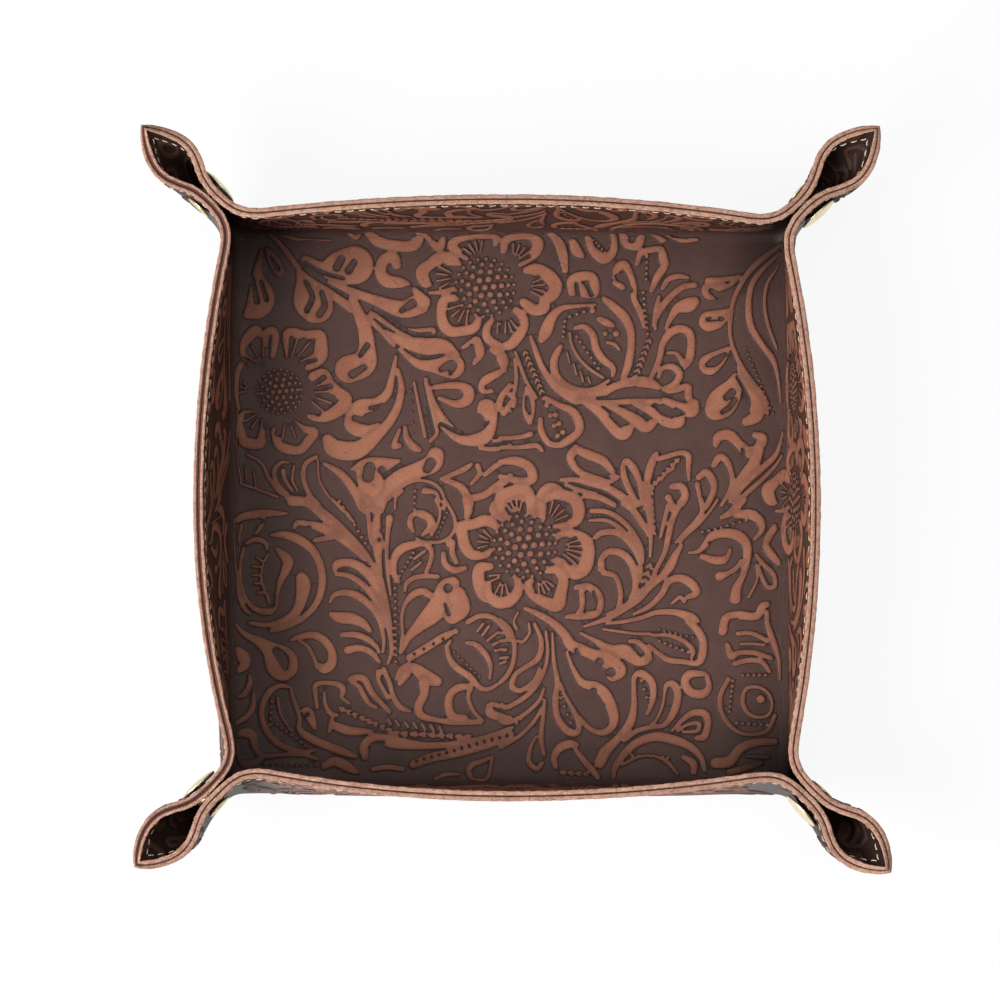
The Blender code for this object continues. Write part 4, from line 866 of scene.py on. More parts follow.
    ("up", 30.1, -1.3, .9, 35.7, -1.7, .9, 41.2, -4.8, .9, 45.4, -9.6, .9, 48.2, -15.2, .8, 48.5, -20.1,
     .7),
    ("up", 29.4, -4.8, .5, 35.7, -4.9, .7, 41.2, -8.2, .8, 45.4, -13.8, .8, 47.8, -19.4, .5),
    ("up", 31.5, -11, .9, 33.6, -9.4, 1.1, 38.5, -9.1, 1.2, 42.6, -11.7, 1.1, 46.1, -16.6, .8, 48, -22.2,
     .7, 47.6, -27, .5),
    ("up", 42, 1.5, 1.3, 45.4, -1.3, 1.2, 48.2, -5.5, 1.3, 51, -10.3, .9, 51.6, -16.6, .5),
    ("up", 33.6, -22.5, 1.4, 33.6, -19.4, 1.2, 35.7, -16.5, 1.2, 39.8, -16.4, 1.4, 43.3, -18.7, 1.4, 45.4,
     -22.9, 1.4, 46, -27.7, 1.2, 44.6, -32.6, .9, 41.1, -36.8, .8, 37.7, -39.6, 1.1, 32.8, -41.6, .8, 27.3,
     -43.4, .5),
    ("up", 34.6, -23.9, 1.1, 38.4, -25.1, .9, 39.8, -27.7, .9, 40.5, -31.9, .9, 39.8, -36.1, .9, 37.7,
     -38.9, .7),
    ("down", 35.6, -19.5, 1, 39.1, -20.8, 1.1, 42.6, -24.3, .8, 43.4, -27.7, .6),
    ("braid", 51.7, 2.9, 52.5, -8.9, 6, .8),
    ("braid", 51.3, -20.8, 47.8, -31.9, 5, .8),
    ("up", 49.7, 2.9, .7, 51, -4.1, .8, 51.6, -11, .7, 51.3, -18, .5),
    ("up", 57.9, .8, .8, 56.2, -6.2, .8, 55.1, -11, .5),
    ("up", 62.1, .8, .9, 59.3, -4.8, 1.1, 57.9, -11, 1.1, 56.5, -16.6, .9, 53.7, -22.2, .8, 51.6, -27, .8,
     46.7, -31.9, .7, 41.8, -36.1, .7, 35.6, -38.9, .5),
    ("up", 58, 3.6, 1.3, 59.7, .8, .6),
    ("up", 69.8, 2.9, .9, 70.4, -1.3, .9, 67.6, -5.5, .8, 63.5, -9.6, .7, 60.7, -12.8, .5),
    ("up", 76, 2.9, .5, 73.2, -1.3, .5, 69, -6.2, .5, 64.8, -10, .5, 62.1, -12.8, .5),
    ("up", 85.8, 2.9, .9, 81.6, -1.3, 1.4, 77.4, -3.7, .8),
    ("up", 62.7, -13.8, .7, 60.6, -17.3, 1.3, 58.5, -21.5, 1.7, 55.8, -25, 1.3, 51.6, -28.8, 1, 47.4, -33.6,
     .8, 42.5, -37.1, .7, 37.7, -39.9, .7),
    ("up", 45.3, -38.9, .5, 50.9, -36.1, .9, 55.7, -31.2, 1.1, 57.8, -27.2, 1.2, 62, -25.8, 1.5, 66.1,
     -27.7, 1.7, 68.2, -31.1, 1.3, 64.9, -32.7, .9),
    ("up", 59.2, -35, .5, 62.1, -32.7, .7, 63.7, -34.3, .7),
    ("up", 35.6, -42.3, .5, 41.8, -41.6, .7, 48.1, -40.2, .8, 53.6, -38.3, .9, 60.6, -38.3, 1.2, 66.1,
     -40.2, 1.7, 68.9, -41.6, .5),
    ("up", 34.2, -44.4, .5, 45.3, -45.9, .5, 52.2, -46.1, .6),
    ("up", 64.7, -41.6, .8, 68.1, -44.4, 1.4, 70.3, -48.6, 1.4, 70, -54.1, 1.5, 68.1, -56.7, 1.1, 63.2,
     -56.2, .9, 57.7, -55.5, 1.1, 53.6, -52.7, .8, 50.8, -50, .5),
    ("up", 52.2, -46.6, .5, 57.7, -46.6, .7, 63.3, -48.6, .8, 66.7, -52, .8, 66.2, -54.8, .5),
    ("dots", 54.6, -48.7, 65, -52.7, 6, .6),
    ("dots", 54.3, -44.4, 66.7, -47.2, 7, .4),
    ("up", 25.9, -45.8, .5, 31.4, -48.6, .9, 36.9, -52, 2, 42.5, -52.7, 2.7, 46.6, -55.5, 2.3, 49.7, -55.6,
     1.7),
    ("up", 43.9, -48.7, .7, 46.7, -49.1, .9, 50, -52, 1.2, 51.1, -55.2, .9),
    ("down", 45.3, -50.8, .8, 47.9, -53.8, .7),
    ("up", 5.8, -36.8, .6, 10.6, -38.9, 1.1, 16.2, -42.3, 1.4, 20.3, -46.5, 1.7, 22.4, -50, 2, 26.6, -52, 2,
     30, -53.4, 2, 35.2, -55.5, 2.9, 39.6, -59, 2.9, 37.8, -60.9, 2.5),
    ("down", 32.9, -56.2, 1.5),
    ("down", 36.9, -60, 1.7),
    ("down", 24.5, -52, .8, 26.7, -56.9, .8),
    ("up", 21, -52.7, .5, 23.1, -58.3, .8, 26.5, -63.8, 1.4, 31.4, -65.2, 1.8, 34.8, -68, 2, 37.6, -74.2, 2,
     37.6, -79, 1.5, 34.1, -81.8, 1.2, 29.3, -80.4, .9, 24.4, -74.9, .8, 20.3, -68, .7, 17.5, -61, .7, 16.2,
     -54.1, .5),
    ("down", 30.7, -66.7, 1.2),
    ("down", 34.1, -71.8, .8),
    ("up", 15.8, -45.8, .4, 16.3, -56.2, .7, 17.5, -63.8, .9, 16.8, -69.3, 1.1, 17.5, -76.2, 1.2, 21, -81.1,
     1.4, 24.4, -81.8, 1.2, 25.3, -79, .9, 23.1, -73.5, .7, 19.6, -67.3, .5),
    ("dots", 18.9, -69.3, 22.4, -78.3, 4, .6),
    ("up", 9.3, -42.3, .5, 11.7, -48.6, .9, 10.6, -54.8, 1.1, 5.8, -58.3, .9, 2.3, -61, .9, 1.1, -65.2, 1.1,
     4.4, -66.6, .9, 9.2, -63.1, .9, 11.2, -58.3, .5),
    ("up", 13.4, -45.1, .5, 14.1, -52.7, .6, 12.7, -59.7, .7, 9.2, -65.9, .8, 4.4, -70, .9, -1.1, -72.8, .8,
     -2.5, -71.4, .5),
    ("up", 12.7, -65.9, .5, 10.6, -70.7, .7, 5.1, -75.6, .8, -.5, -78.3, .8, -3.2, -77.6, .7),
    ("up", 12.3, -72.1, .5, 9.2, -77.6, .7, 3.7, -83.1, .7, -3.2, -87.3, .7),
    ("up", 13, -70, .5, 12.3, -76.9, .7, 11.6, -83.8, .9, 12.7, -90, .5),
    ("up", 9.9, -83.1, .5, 7.8, -87.3, .7, 7.1, -92.1, .9, 9.9, -94.9, .9, 12, -92.8, .7),
    ("dots", -1.8, -83.1, 4.4, -76.9, 5, .6),
    ("up", 3.4, -38.2, .4, 1.8, -41.6, .4, 3, -44.4, .5),
    ("up", 7.2, -42.3, .5, 7.5, -45.8, .5, 5.1, -48.9, .6, 3, -48.6, .5),
    ("up", -3.2, -40.9, .7, .2, -44.4, .8, 2, -50, .8, 1.6, -56.2, .8, -.5, -61, .8, -3.2, -63.8, .7),
    ("up", -3.2, -45.8, .5, -1, -45.8, .5),
    ("up", -3.2, -48.7, .5, -.6, -48.6, .5),
    ("up", -3.2, -51.7, .5, -1, -52, .5),
    ("up", -3.2, -56.9, .5, -1.1, -56.2, .5),
    ("up", 32.8, -92.7, 2, 34.8, -88.7, 2, 39.6, -83.8, 1.4, 43.8, -78.3, 1.6, 45.2, -72.8, 1.2, 45.2,
     -66.6, .9, 45.4, -61.7, .9, 48.1, -60.5, 1.4, 51.4, -63.1, 1.4, 52.3, -67.3, 1.2, 51.4, -72.1, .9, 50,
     -74.9, .7),
    ("dots", 48, -63.1, 50.7, -72.1, 4, .6),
    ("up", 41.7, -84.5, .9, 46.5, -81.1, .9, 52.1, -79.7, .8, 56.2, -79, .9, 59.7, -74.2, 1.4, 61.1, -68,
     1.4, 59.7, -64.5, 1.4, 57.1, -64.6, .9, 56.3, -68, .5, 55.6, -72.1, .5, 53.5, -76.9, .5, 51.4, -79,
     .5),
    ("up", 70.8, -60.5, .9, 65.3, -60.8, 1.5, 63.7, -63.8, 1.5, 66, -67.3, 1.6, 70.1, -67.8, 1.6, 72.4,
     -65.2, 1.1, 71.7, -61, .8),
    ("up", 59, -81.1, .5, 63.2, -76.9, .9, 66.6, -74.7, 1.2, 70.8, -75, 1.4, 72, -78.3, 1.2, 70.7, -83.1,
     1.3, 68, -83.8, .9),
    ("up", 61.1, -81.2, .5, 64.5, -79, .6, 68.7, -78.5, .8, 68, -81.2, .7, 63.1, -81.6, .5),
    ("up", 77.5, -45.1, 1.6, 78.7, -40.4, 1.5, 83.4, -39.3, 1.6, 89.7, -39.6, 1.4, 91.9, -36.2, 1.4, 93.8,
     -35.2, 1),
    ("up", 93.7, -38.2, .8, 93.7, -42.3, .9, 95.8, -48.6, 1.1, 97.9, -54.8, .9, 98.5, -62.4, .6),
    ("up", 79.2, -50, .9, 80.6, -54.1, 1.4, 83.3, -52.9, .9, 88.9, -52.9, .9, 95.1, -54.8, .8),
    ("up", 83, -45.9, .8, 88.2, -45.9, .8, 93.8, -48.6, .8),
    ("up", 84.1, -49.7, .5, 88.9, -49.7, .5, 92.7, -50.1, .5),
    ("down", 80.8, -41.6, 1, 82.9, -40.9, .6),
    ("up", 81.9, -56.9, .9, 86.8, -55.6, .9, 91.6, -56.2, .9, 94.5, -59.7, .7),
    ("up", 79.5, -62.3, .8, 76.5, -68.6, .9, 77.1, -74.9, .8, 81.1, -80.4, .8, 86.6, -82.5, .6, 93.5, -81.1,
     .7, 96.3, -75.6, .7),
    ("up", 85, -67.3, .7, 84.6, -70.7, .8, 86, -74.2, .7, 89.4, -76.2, .6, 93.6, -75.6, .6, 95.3, -72.1, .5,
     94.3, -68, .5, 90.9, -65.5, .6, 86.7, -65.5, .7, 85, -67.3, .7),
    ("up", 91.2, -69.7, 1.5),
    ("dots", 81.2, -63.1, 79.8, -74.2, 7, .6),
    ("dots", 82.5, -78.3, 93.6, -79, 6, .6),
    ("dots", 84.7, -61, 93, -61, 5, .6),
    ("up", 65.5, -16.6, .5, 69, -15.9, .8, 71.8, -13.1, 1.3, 73.9, -10.5, 1.5, 78.7, -9.4, 1.7, 83.6, -10.5,
     2, 86.4, -13.8, 1.7, 86.3, -19.4, 1.4, 84.9, -25, 1.1, 82.8, -29.1, 1.6, 82.1, -33.3, 2),
    ("up", 70.4, -18, 1.1, 75.2, -19.4, 1.5, 79.4, -18.6, 1.4, 80.8, -15.4, .9),
    ("down", 73.2, -13.1, .8, 77.3, -14.5, 1.2, 78.1, -16, .8),
    ("down", 80.8, -12.4, .6, 81.6, -16.6, .7, 79.4, -21.1, .7),
    ("up", 76.6, -25.1, 1.7, 79.4, -24.1, .9, 82.5, -22.2, .9, 84.4, -19.5, .7),
    ("up", 82.9, -2.7, 1.3, 87.8, -2.5, 1.9, 91.3, -4.9, 1.6, 91.9, -8.2, 1.1, 89.5, -11.4, .7),
    ("dots", 70.4, -8.9, 86.4, -4.8, 8, .5),
    ("up", 92.9, -14.5, 1.1, 94.2, -11, 1.3, 96.8, -7.2, 1.3),
    ("up", 93.4, -14.2, 1.3, 95.4, -17.3, 1.5, 98.1, -20.1, 1.3),
    ("up", 89.8, -17.3, .5, 92.6, -20.8, .8, 96, -24.3, .9, 96.7, -28.4, .9, 93.9, -29.1, .8, 91.8, -25, .7,
     90.5, -20.8, .5),
    ("up", 89.8, -20.8, .4, 90.1, -26.4, .4, 87.1, -32.6, .5),
    ("up", 16.8, -94.2, .9, 16.3, -90.7, 1.2, 18.3, -87.4, 1.5, 21.7, -86, 1.6, 24.4, -86.2, 1),
    ("up", 24.1, -88, .8, 27.2, -92.1, 1.1, 31.3, -96.9, 1.2, 32, -99, .8),
    ("braid", 18.9, -96.2, 27.2, -96.9, 4, .7),
    ("up", 37.7, -98.3, .7, 38.4, -94.2, 1.1, 42.4, -88.7, 1.4, 47.2, -85, 1.5, 53.4, -83.3, 1.7, 59, -84.3,
     1.7, 65.2, -86.7, 1.4, 69.3, -90.7, 1.1, 70.7, -95.5, .8),
    ("up", 41, -93.5, .5, 46.5, -90.7, .6, 52, -90.2, .6, 56.9, -92.2, .7, 61, -96.9, .5),
    ("dots", 42.4, -90, 57.6, -90.7, 8, .6),
    ("up", 63.1, -90.7, .9, 66.5, -92.9, 1.4, 66.7, -96.2, 1.1),
    ("up", 74.8, -92.8, 2, 79.7, -92.1, 2, 83.8, -87.4, 1.7, 89.4, -85.4, 1.5, 96.3, -85, 1.1),
    ("up", 79.6, -96.2, 1.1, 86.5, -94.3, 1.1, 91.4, -92.8, .7),
    ("up", 85.9, -90.4, .4, 93.5, -90.7, .8),
)


def pairs_of(kind, numbers):
    """Where in a stroke's numbers its places begin."""
    if kind in ("up", "down"):
        return range(0, len(numbers), 3)
    return (0,) if kind == "seeds" else (0, 2)


def cut(field, kind, numbers, move=(0, 0)):
    """Cut one stroke of the drawing into the field, moved along the sheet."""
    numbers = list(numbers)
    for k in pairs_of(kind, numbers):
        numbers[k] += move[0]
        numbers[k + 1] += move[1]
    if kind in ("up", "down"):
        brush(field, numbers, kind == "up")
    elif kind == "holes":
        dots(field, *numbers, False)
    else:
        {"dots": dots, "braid": braid, "fan": fan, "seeds": seeds}[kind](field, *numbers)


field = np.full((field_count, field_count), -deep)
for kind, *numbers in drawing:
    cut(field, kind, numbers)

# The walls and ears carry the same drawing again, moved by the floor's width.
offsets = np.arange(field_count) * field_step - field_half
past = np.abs(offsets) > floor_half * to_millimetres
floor_width_cells = 2 * to_millimetres * floor_half / field_step
moved_cells = np.arange(field_count) - np.round(np.sign(offsets) * past * floor_width_cells).astype(int)
again = field[moved_cells][:, moved_cells]
field = np.where(past[:, None] | past[None], np.maximum(field, again), field)

# The flower near the back wall stands once more on the right wall, in a space cleared for it.
flower_middle, flower_reach = (-6, 80), 27
wall_flower_middle, cleared_radius = (120, 0), 23.5
flower_move = [there - here for there, here in zip(wall_flower_middle, flower_middle, strict=True)]
brush(field, [*wall_flower_middle, cleared_radius], False)
for kind, *numbers in drawing:
    if all(math.dist(numbers[k : k + 2], flower_middle) < flower_reach for k in pairs_of(kind, numbers)):
        cut(field, kind, numbers, flower_move)


def outlines(field, level):
    """Runs of points along one level of the field, with the raised side on the left."""
    above = field > level
    nx, ny = field.shape
    count = nx * ny
    a, b, c, d = above[:-1, :-1], above[1:, :-1], above[1:, 1:], above[:-1, 1:]
    cell = np.arange(count).reshape(nx, ny)[:-1, :-1]
    low, top, left, right = cell, cell + 1, cell + count, cell + count + ny
    follows = np.full(2 * count, -1)
    kinds = a + 2 * b + 4 * c + 8 * d
    steps = {
        1: ((low, left),),
        2: ((right, low),),
        4: ((top, right),),
        8: ((left, top),),
        3: ((right, left),),
        6: ((top, low),),
        12: ((left, right),),
        9: ((low, top),),
        14: ((left, low),),
        13: ((low, right),),
        11: ((right, top),),
        7: ((top, left),),
        5: ((low, left), (top, right)),
        10: ((right, low), (left, top)),
    }
    for kind, pairs in steps.items():
        here = kinds == kind
        for start, end in pairs:
            follows[start[here]] = end[here]
    values = field.ravel()
    starts = np.nonzero(follows >= 0)[0]
    used = np.union1d(starts, follows[starts])
    places = np.zeros((2 * count, 2), np.float32)
    for base, stride in ((0, ny), (count, 1)):
        edges = used[(used >= base) & (used < base + count)] - base
        share = (level - values[edges]) / (values[edges + stride] - values[edges])
        spot = np.stack([edges // ny, edges % ny], axis=-1).astype(float)
        spot[:, 0 if stride == ny else 1] += share
        places[edges + base] = spot * field_step - field_half
    heads = np.setdiff1d(starts, follows[starts])
    order = [*heads.tolist(), *starts.tolist()]
    after = follows.tolist()
    runs = []
    for start in order:
        if after[start] < 0:
            continue
        run = [start]
        while after[run[-1]] >= 0:
            nearby = after[run[-1]]
            after[run[-1]] = -1
            run.append(nearby)
        runs.append(places[run])
    return runs


# Shorter runs than this, in millimetres, are specks and are left out.
least_run_length = 1.2
least_run_points = 7


def even_run(run, spacing):
    """The same run with its points evenly spaced, or nothing where it is only a speck."""
    length = np.concatenate([[0], np.cumsum(np.linalg.norm(np.diff(run, axis=0), axis=-1))])
    if length[-1] < least_run_length:
        return run[:0]
    t = np.linspace(0, length[-1], max(least_run_points, round(length[-1] / spacing) + 1))
    return np.stack([np.interp(t, length, run[:, 0]), np.interp(t, length, run[:, 1])], axis=-1)


# Lines that the sheet's mesh keeps to, in millimetres: where one piece ends and the next begins, the line
# just inside the cut edge, and the groove that the stitches lie in.
pinch_blend = 3
edge_round = 0.35
crease_line = (floor_half - crease_reach) * to_millimetres
floor_line = floor_half * to_millimetres
ear_line = floor_line - pinch_blend
rim_line = sheet_half * to_millimetres - edge_round
stitch_line = 146
groove_half = 0.5


def border_runs(spacing):
    """Border lines of all thirteen pieces, as runs of points."""
    groove_lines = (stitch_line - groove_half, stitch_line, stitch_line + groove_half)
    quarter_runs = [
        [(crease_line, -crease_line), (crease_line, crease_line)],
        *[
            [(crease_line, hand * crease_line)]
            + [(floor_line, hand * place) for place in (crease_line, ear_line, floor_line)]
            for hand in (1, -1)
        ],
        [(floor_line, ear_line), (rim_line, ear_line)],
        [(floor_line, -ear_line), (rim_line, -ear_line)],
        [(floor_line, floor_line), (rim_line, rim_line)],
        [(rim_line, -rim_line), (rim_line, -ear_line), (rim_line, ear_line), (rim_line, rim_line)],
        *[[(place, -place), (place, place)] for place in groove_lines],
    ]
    runs = []
    for run in quarter_runs:
        for side in sides:
            ends = turned(run, side, False)
            for a, b in zip(ends[:-1], ends[1:], strict=True):
                count = max(1, math.ceil(math.dist(a, b) / spacing))
                runs.append(a + (b - a) * np.linspace(0, 1, count + 1)[:, None])
    return runs


def panel_of(places):
    """Piece that each flat place in millimetres is on, 0 floor, 1 to 4 walls, 5 to 12 ears, and its p and q.

    p is how far it lies from the sheet's middle towards its own edge, and q how far along that edge.
    """
    u, v = places[:, 0], places[:, 1]
    on_side = np.abs(u) >= np.abs(v)
    p = np.where(on_side, np.abs(u), np.abs(v))
    q = np.where(on_side, v * np.sign(u), -u * np.sign(v))
    side = np.where(on_side, np.where(u >= 0, 0, 2), np.where(v >= 0, 1, 3))
    wall = (p > crease_line) & (np.abs(q) < crease_line) | (p > floor_line) & (np.abs(q) < ear_line)
    ear = (p > floor_line) & (np.abs(q) >= ear_line)
    return np.where(ear, 5 + 2 * side + (q < 0), np.where(wall, 1 + side, 0)), p, q


snap_place = (138.3, 109.5)


def from_snap(p, q, mirrored):
    """Distance of places from the snap of the first or the mirrored ear half of their wall."""
    return np.hypot(p - snap_place[0], q * (-1 if mirrored else 1) - snap_place[1])


def round_run(radius, count=40):
    """Circle round the snap's place."""
    turns = np.arange(count + 1) % count * 2 * math.pi / count
    return np.stack([snap_place[0] + radius * np.cos(turns), snap_place[1] + radius * np.sin(turns)], axis=-1)


# Sizes of the mesh, in millimetres: how far the outlines keep off the pieces' borders, how close the places
# along the creases lie across and along them, and how far the other places keep off the rest and the rim.
far_off = 9
border_clearance = 0.16
crease_fill = (0.8, 1.6)
crease_fill_reach, crease_fill_length = 7, 104
free_cell = 0.5
rim_clearance = 0.4


def tooled_sheet(field, spacing, levels, fill, holes):
    """Triangles over the whole flat sheet that follow the tooling's outlines and the pieces' borders."""
    runs = border_runs(spacing * 1.5)
    for side in sides:
        for mirrored in (False, True):
            if holes[mirrored]:
                runs.append(turned(round_run(holes[mirrored]), side, mirrored))
    points = [np.concatenate(runs)]
    edges = []
    start = 0
    for run in runs:
        edges.append(np.stack([np.arange(len(run) - 1), np.arange(1, len(run))], axis=-1) + start)
        start += len(run)
    for level in levels:
        for run in outlines(field, level):
            run = even_run(run, spacing)
            if not len(run):
                continue
            _, p, q = panel_of(run)
            # Distance to the nearest border, where it exists beside the run.
            beyond = (np.abs(q) > crease_line) * far_off
            near = np.minimum(np.abs(p - crease_line) + beyond, np.abs(p - rim_line))
            near = np.minimum(near, np.abs(np.abs(q) - ear_line) + (p < floor_line) * far_off)
            near = np.minimum(near, np.abs(p - np.abs(q)) / 1.4 + (p < floor_line) * far_off)
            near = np.minimum(near, np.abs(p - floor_line) + (np.abs(q) < crease_line) * far_off)
            kept = (near > border_clearance) & (p < rim_line)
            pair = kept[:-1] & kept[1:]
            number = np.cumsum(kept) - 1 + start
            edges.append(np.stack([number[:-1][pair], number[1:][pair]], axis=-1))
            points.append(run[kept])
            start += int(kept.sum())
    # Between the outlines go places in offset rows, and closer ones along the creases.
    rows = np.arange(-rim_line, rim_line, fill * math.sqrt(0.75))
    u, v = np.meshgrid(np.arange(-rim_line, rim_line, fill), rows, indexing="ij")
    offset = np.arange(v.shape[1]) % 2 * fill / 2
    places = np.stack([u + offset, v], axis=-1).reshape(-1, 2)
    across = np.arange(floor_line - crease_fill_reach, floor_line + crease_fill_reach + 0.1, crease_fill[0])
    along = np.arange(-crease_fill_length, crease_fill_length, crease_fill[1])
    crease = np.stack(np.meshgrid(across, along, indexing="ij"), axis=-1).reshape(-1, 2)
    places = np.concatenate([places, *[turned(crease, side, False) for side in sides]])
    places = places[(np.abs(places) < rim_line - rim_clearance).all(axis=1)]
    places = places[np.abs(look_up(field, places, field_half, field_step)) > free_cell]
    cells = set(map(tuple, np.round(np.concatenate(points) / free_cell).astype(int).tolist()))
    free = [tuple(cell) not in cells for cell in np.round(places / free_cell).astype(int).tolist()]
    points.append(places[free])
    flat = np.concatenate(points)
    edges = np.concatenate(edges).tolist()
    places = [Vector(place) for place in flat.tolist()]
    verts, _, faces, *_ = delaunay_2d_cdt(places, edges, [], 1, 1e-3, False)
    flat = np.round([tuple(vert) for vert in verts], 6)
    faces = np.array(faces)
    panel, p, q = panel_of(flat[faces].mean(axis=1))
    keep = p < rim_line
    for mirrored, radius in enumerate(holes):
        if radius:
            keep &= from_snap(p, q, mirrored) > radius
    return flat, faces[keep], panel[keep]


# Depths of the leather's face, in millimetres: the ground between the raised shapes, the line pressed round
# them, the wrinkles in the creases and the groove of the stitches. Towards the cut edge the tooling fades.
ground_depth, line_depth, shape_dip = 0.42, 0.12, 0.05
wrinkle_depth, wrinkle_reach = 0.09, 4.5
groove_depth, groove_width = 0.55, 0.38
rim_fade, rim_fade_reach = 0.65, 1.2
# Under each cap and post flange the outer leather is pressed up to the metal: rise and reach.
presses = ((1.2, 7.4), (0.45, 5.0))


def relief(inside):
    """Height of the leather's face off its highest level, from how far inside a raised shape it is."""
    ground = -ground_depth - line_depth * np.exp(-(((inside + 0.3) / 0.35) ** 2))
    raised = -shape_dip * np.exp(-(((inside - 0.45) / 0.5) ** 2))
    share = smooth_step((inside + 0.28) / 0.42)
    return ground * (1 - share) + raised * share


def face_drop(layer, flat, inside):
    """Height of a sheet's whole face off its highest level, with creases, groove, rim and pressed places."""
    _, p, q = panel_of(flat)
    near_crease = np.exp(-(((p - floor_line) / wrinkle_reach) ** 2)) * (np.abs(q) < floor_line + 3)
    waves = np.sin(p * 5.2 + 1.6 * np.sin(q * 0.21) + 0.9 * np.sin(q * 0.53 + 1))
    wrinkle = near_crease * wrinkle_depth * waves
    groove = np.exp(-(((p - stitch_line) / groove_width) ** 2))
    drop = relief(inside) * (1 - groove) + wrinkle - wrinkle_depth * near_crease - groove_depth * groove
    drop = drop * (1 - rim_fade * smooth_step(np.abs(flat).max(axis=1) - rim_line + rim_fade_reach))
    if layer == "outer":
        for mirrored, (rise, reach) in enumerate(presses):
            pressed = 1 - smooth_step(from_snap(p, q, mirrored) / reach)
            drop = drop * (1 - pressed) + rise * pressed
    return drop


def border_loops(faces, count):
    """Closed loops of points round a piece's triangles."""
    directed = np.concatenate([faces[:, [0, 1]], faces[:, [1, 2]], faces[:, [2, 0]]])
    codes = directed[:, 0] * count + directed[:, 1]
    border = directed[~np.isin(codes, directed[:, 1] * count + directed[:, 0])]
    onward = {}
    for a, b in border.tolist():
        onward.setdefault(a, []).append(b)
    loops = []
    while onward:
        loop = [next(iter(onward))]
        while len(loop) == 1 or loop[-1] != loop[0]:
            loop.append(onward[loop[-1]].pop())
            if not onward[loop[-2]]:
                del onward[loop[-2]]
        loops.append(loop[:-1])
    return loops


def glued_back(number, place, border, edges, holes):
    """Coarse mesh within a piece's border: places, triangles and the given point each place comes from."""
    ranges = [np.arange(a + 2, b - 1, 3.0) for a, b in zip(place.min(axis=0), place.max(axis=0), strict=True)]
    inner = np.stack(np.meshgrid(*ranges), axis=-1).reshape(-1, 2)
    here, p, _ = panel_of(inner)
    inner = inner[(here == number) & (p < rim_line - 1)]
    places = [Vector(spot) for spot in border + inner.tolist()]
    verts, _, faces, sources, *_ = delaunay_2d_cdt(places, edges, [], 1, 1e-6, True)
    spots = np.array([tuple(vert) for vert in verts])
    faces = np.array(faces)
    here, p, q = panel_of(spots[faces].mean(axis=1))
    keep = here == number
    for mirrored, radius in enumerate(holes):
        if radius and number > 4:
            keep &= from_snap(p, q, mirrored) > radius * 0.999
    return spots, faces[keep], sources


def sheet_mesh(name, points, faces, spots):
    """Smooth mesh whose UV map is each point's place on the flat sheet."""
    mesh = bpy.data.meshes.new(name)
    mesh.from_pydata(points, [], faces)
    mesh.polygons.foreach_set("use_smooth", np.ones(len(mesh.polygons), bool))
    corner = np.zeros(len(mesh.loops), np.int32)
    mesh.loops.foreach_get("vertex_index", corner)
    mesh.uv_layers.new(name="sheet").data.foreach_set("uv", np.asarray(spots)[corner].ravel())
    return mesh


def across_crease(side):
    """Points before and after the crease of a wall."""
    ends = turned([(floor_half - crease_reach, 0), (floor_half + crease_reach, 0)], side, False)
    return [tuple(point) for point in folded(ends, np.zeros(2))]


def across_pinch(side, mirrored):
    """Points before and after the pinch line of one end of a wall."""
    middle, reach = 0.140, pinch_blend / to_millimetres
    ends = turned([(middle, floor_half - reach), (middle, floor_half + reach)], side, mirrored)
    return [tuple(point) for point in folded(ends, np.full(2, leather_top))]


# The raw cut edge is rounded, the pieces' other sides go straight down to the glue. Each row has how far it
# lies outside the rim line and below the grain, in millimetres, and its slope in degrees.
leather_thickness = 1.7
edge_rows = (
    (0.22, -0.08, 50),
    (0.35, -0.3, 20),
    (0.37, -0.75, 0),
    (0.35, -1.2, -10),
    (0.24, -1.58, -45),
    (0.1, -leather_thickness, -80),
)
edge_fuzz = 0.05
raw_inside = -9.0
panel_names = ["floor", *[f"wall_{side}" for side in sides]]
panel_names += [f"ear_{corner_of[(side, mirrored)]}_{side}" for side in sides for mirrored in (False, True)]


def point_normals(points, faces, way):
    """Mean direction that the faces round each point face in."""
    corners = points[faces]
    face_normals = np.cross(corners[:, 1] - corners[:, 0], corners[:, 2] - corners[:, 0]) * way
    normals = np.zeros_like(points)
    for k in range(3):
        np.add.at(normals, faces[:, k], face_normals)
    return normals / np.maximum(np.linalg.norm(normals, axis=-1, keepdims=True), 1e-12)


def side_rows(ring, ring_drop, way):
    """Rows of points down a piece's side from one loop: points, normals at the rim, depths, flat places."""
    outer_edge = (np.abs(ring) > rim_line - 1e-3) * np.sign(ring)
    on_rim = (np.abs(outer_edge).sum(axis=1) > 0)[:, None]
    for k, (outward, down, slope) in enumerate(edge_rows):
        lowest = k == len(edge_rows) - 1
        waves = np.sin(np.outer(ring @ (1.0, 1.3), (9.1, 13.7)) + k * 2.1)
        waves = waves * np.sin(ring @ (3.3, 5.9) + k)[:, None]
        fuzz = edge_fuzz * waves * (not lowest) * on_rim
        rounded_rim = outer_edge * (rim_line + outward + fuzz[:, :1])
        moved = np.where(outer_edge == 0, np.round(ring, 5), rounded_rim)
        share = -down / leather_thickness
        sunk = ring_drop * (1 - share) - leather_thickness * share + fuzz[:, 1]
        height = np.full(len(ring), layer_gap / 2) if lowest else leather_top + sunk / to_millimetres
        row = folded(moved / to_millimetres, way * height)
        out = folded((moved + outer_edge * 0.2) / to_millimetres, way * height) - row
        out /= np.maximum(np.linalg.norm(out, axis=-1, keepdims=True), 1e-9)
        tilt = math.radians(slope)
        normals = math.cos(tilt) * out + math.sin(tilt) * way * facing(moved / to_millimetres)
        yield row, normals * on_rim, np.full(len(ring), -down), moved


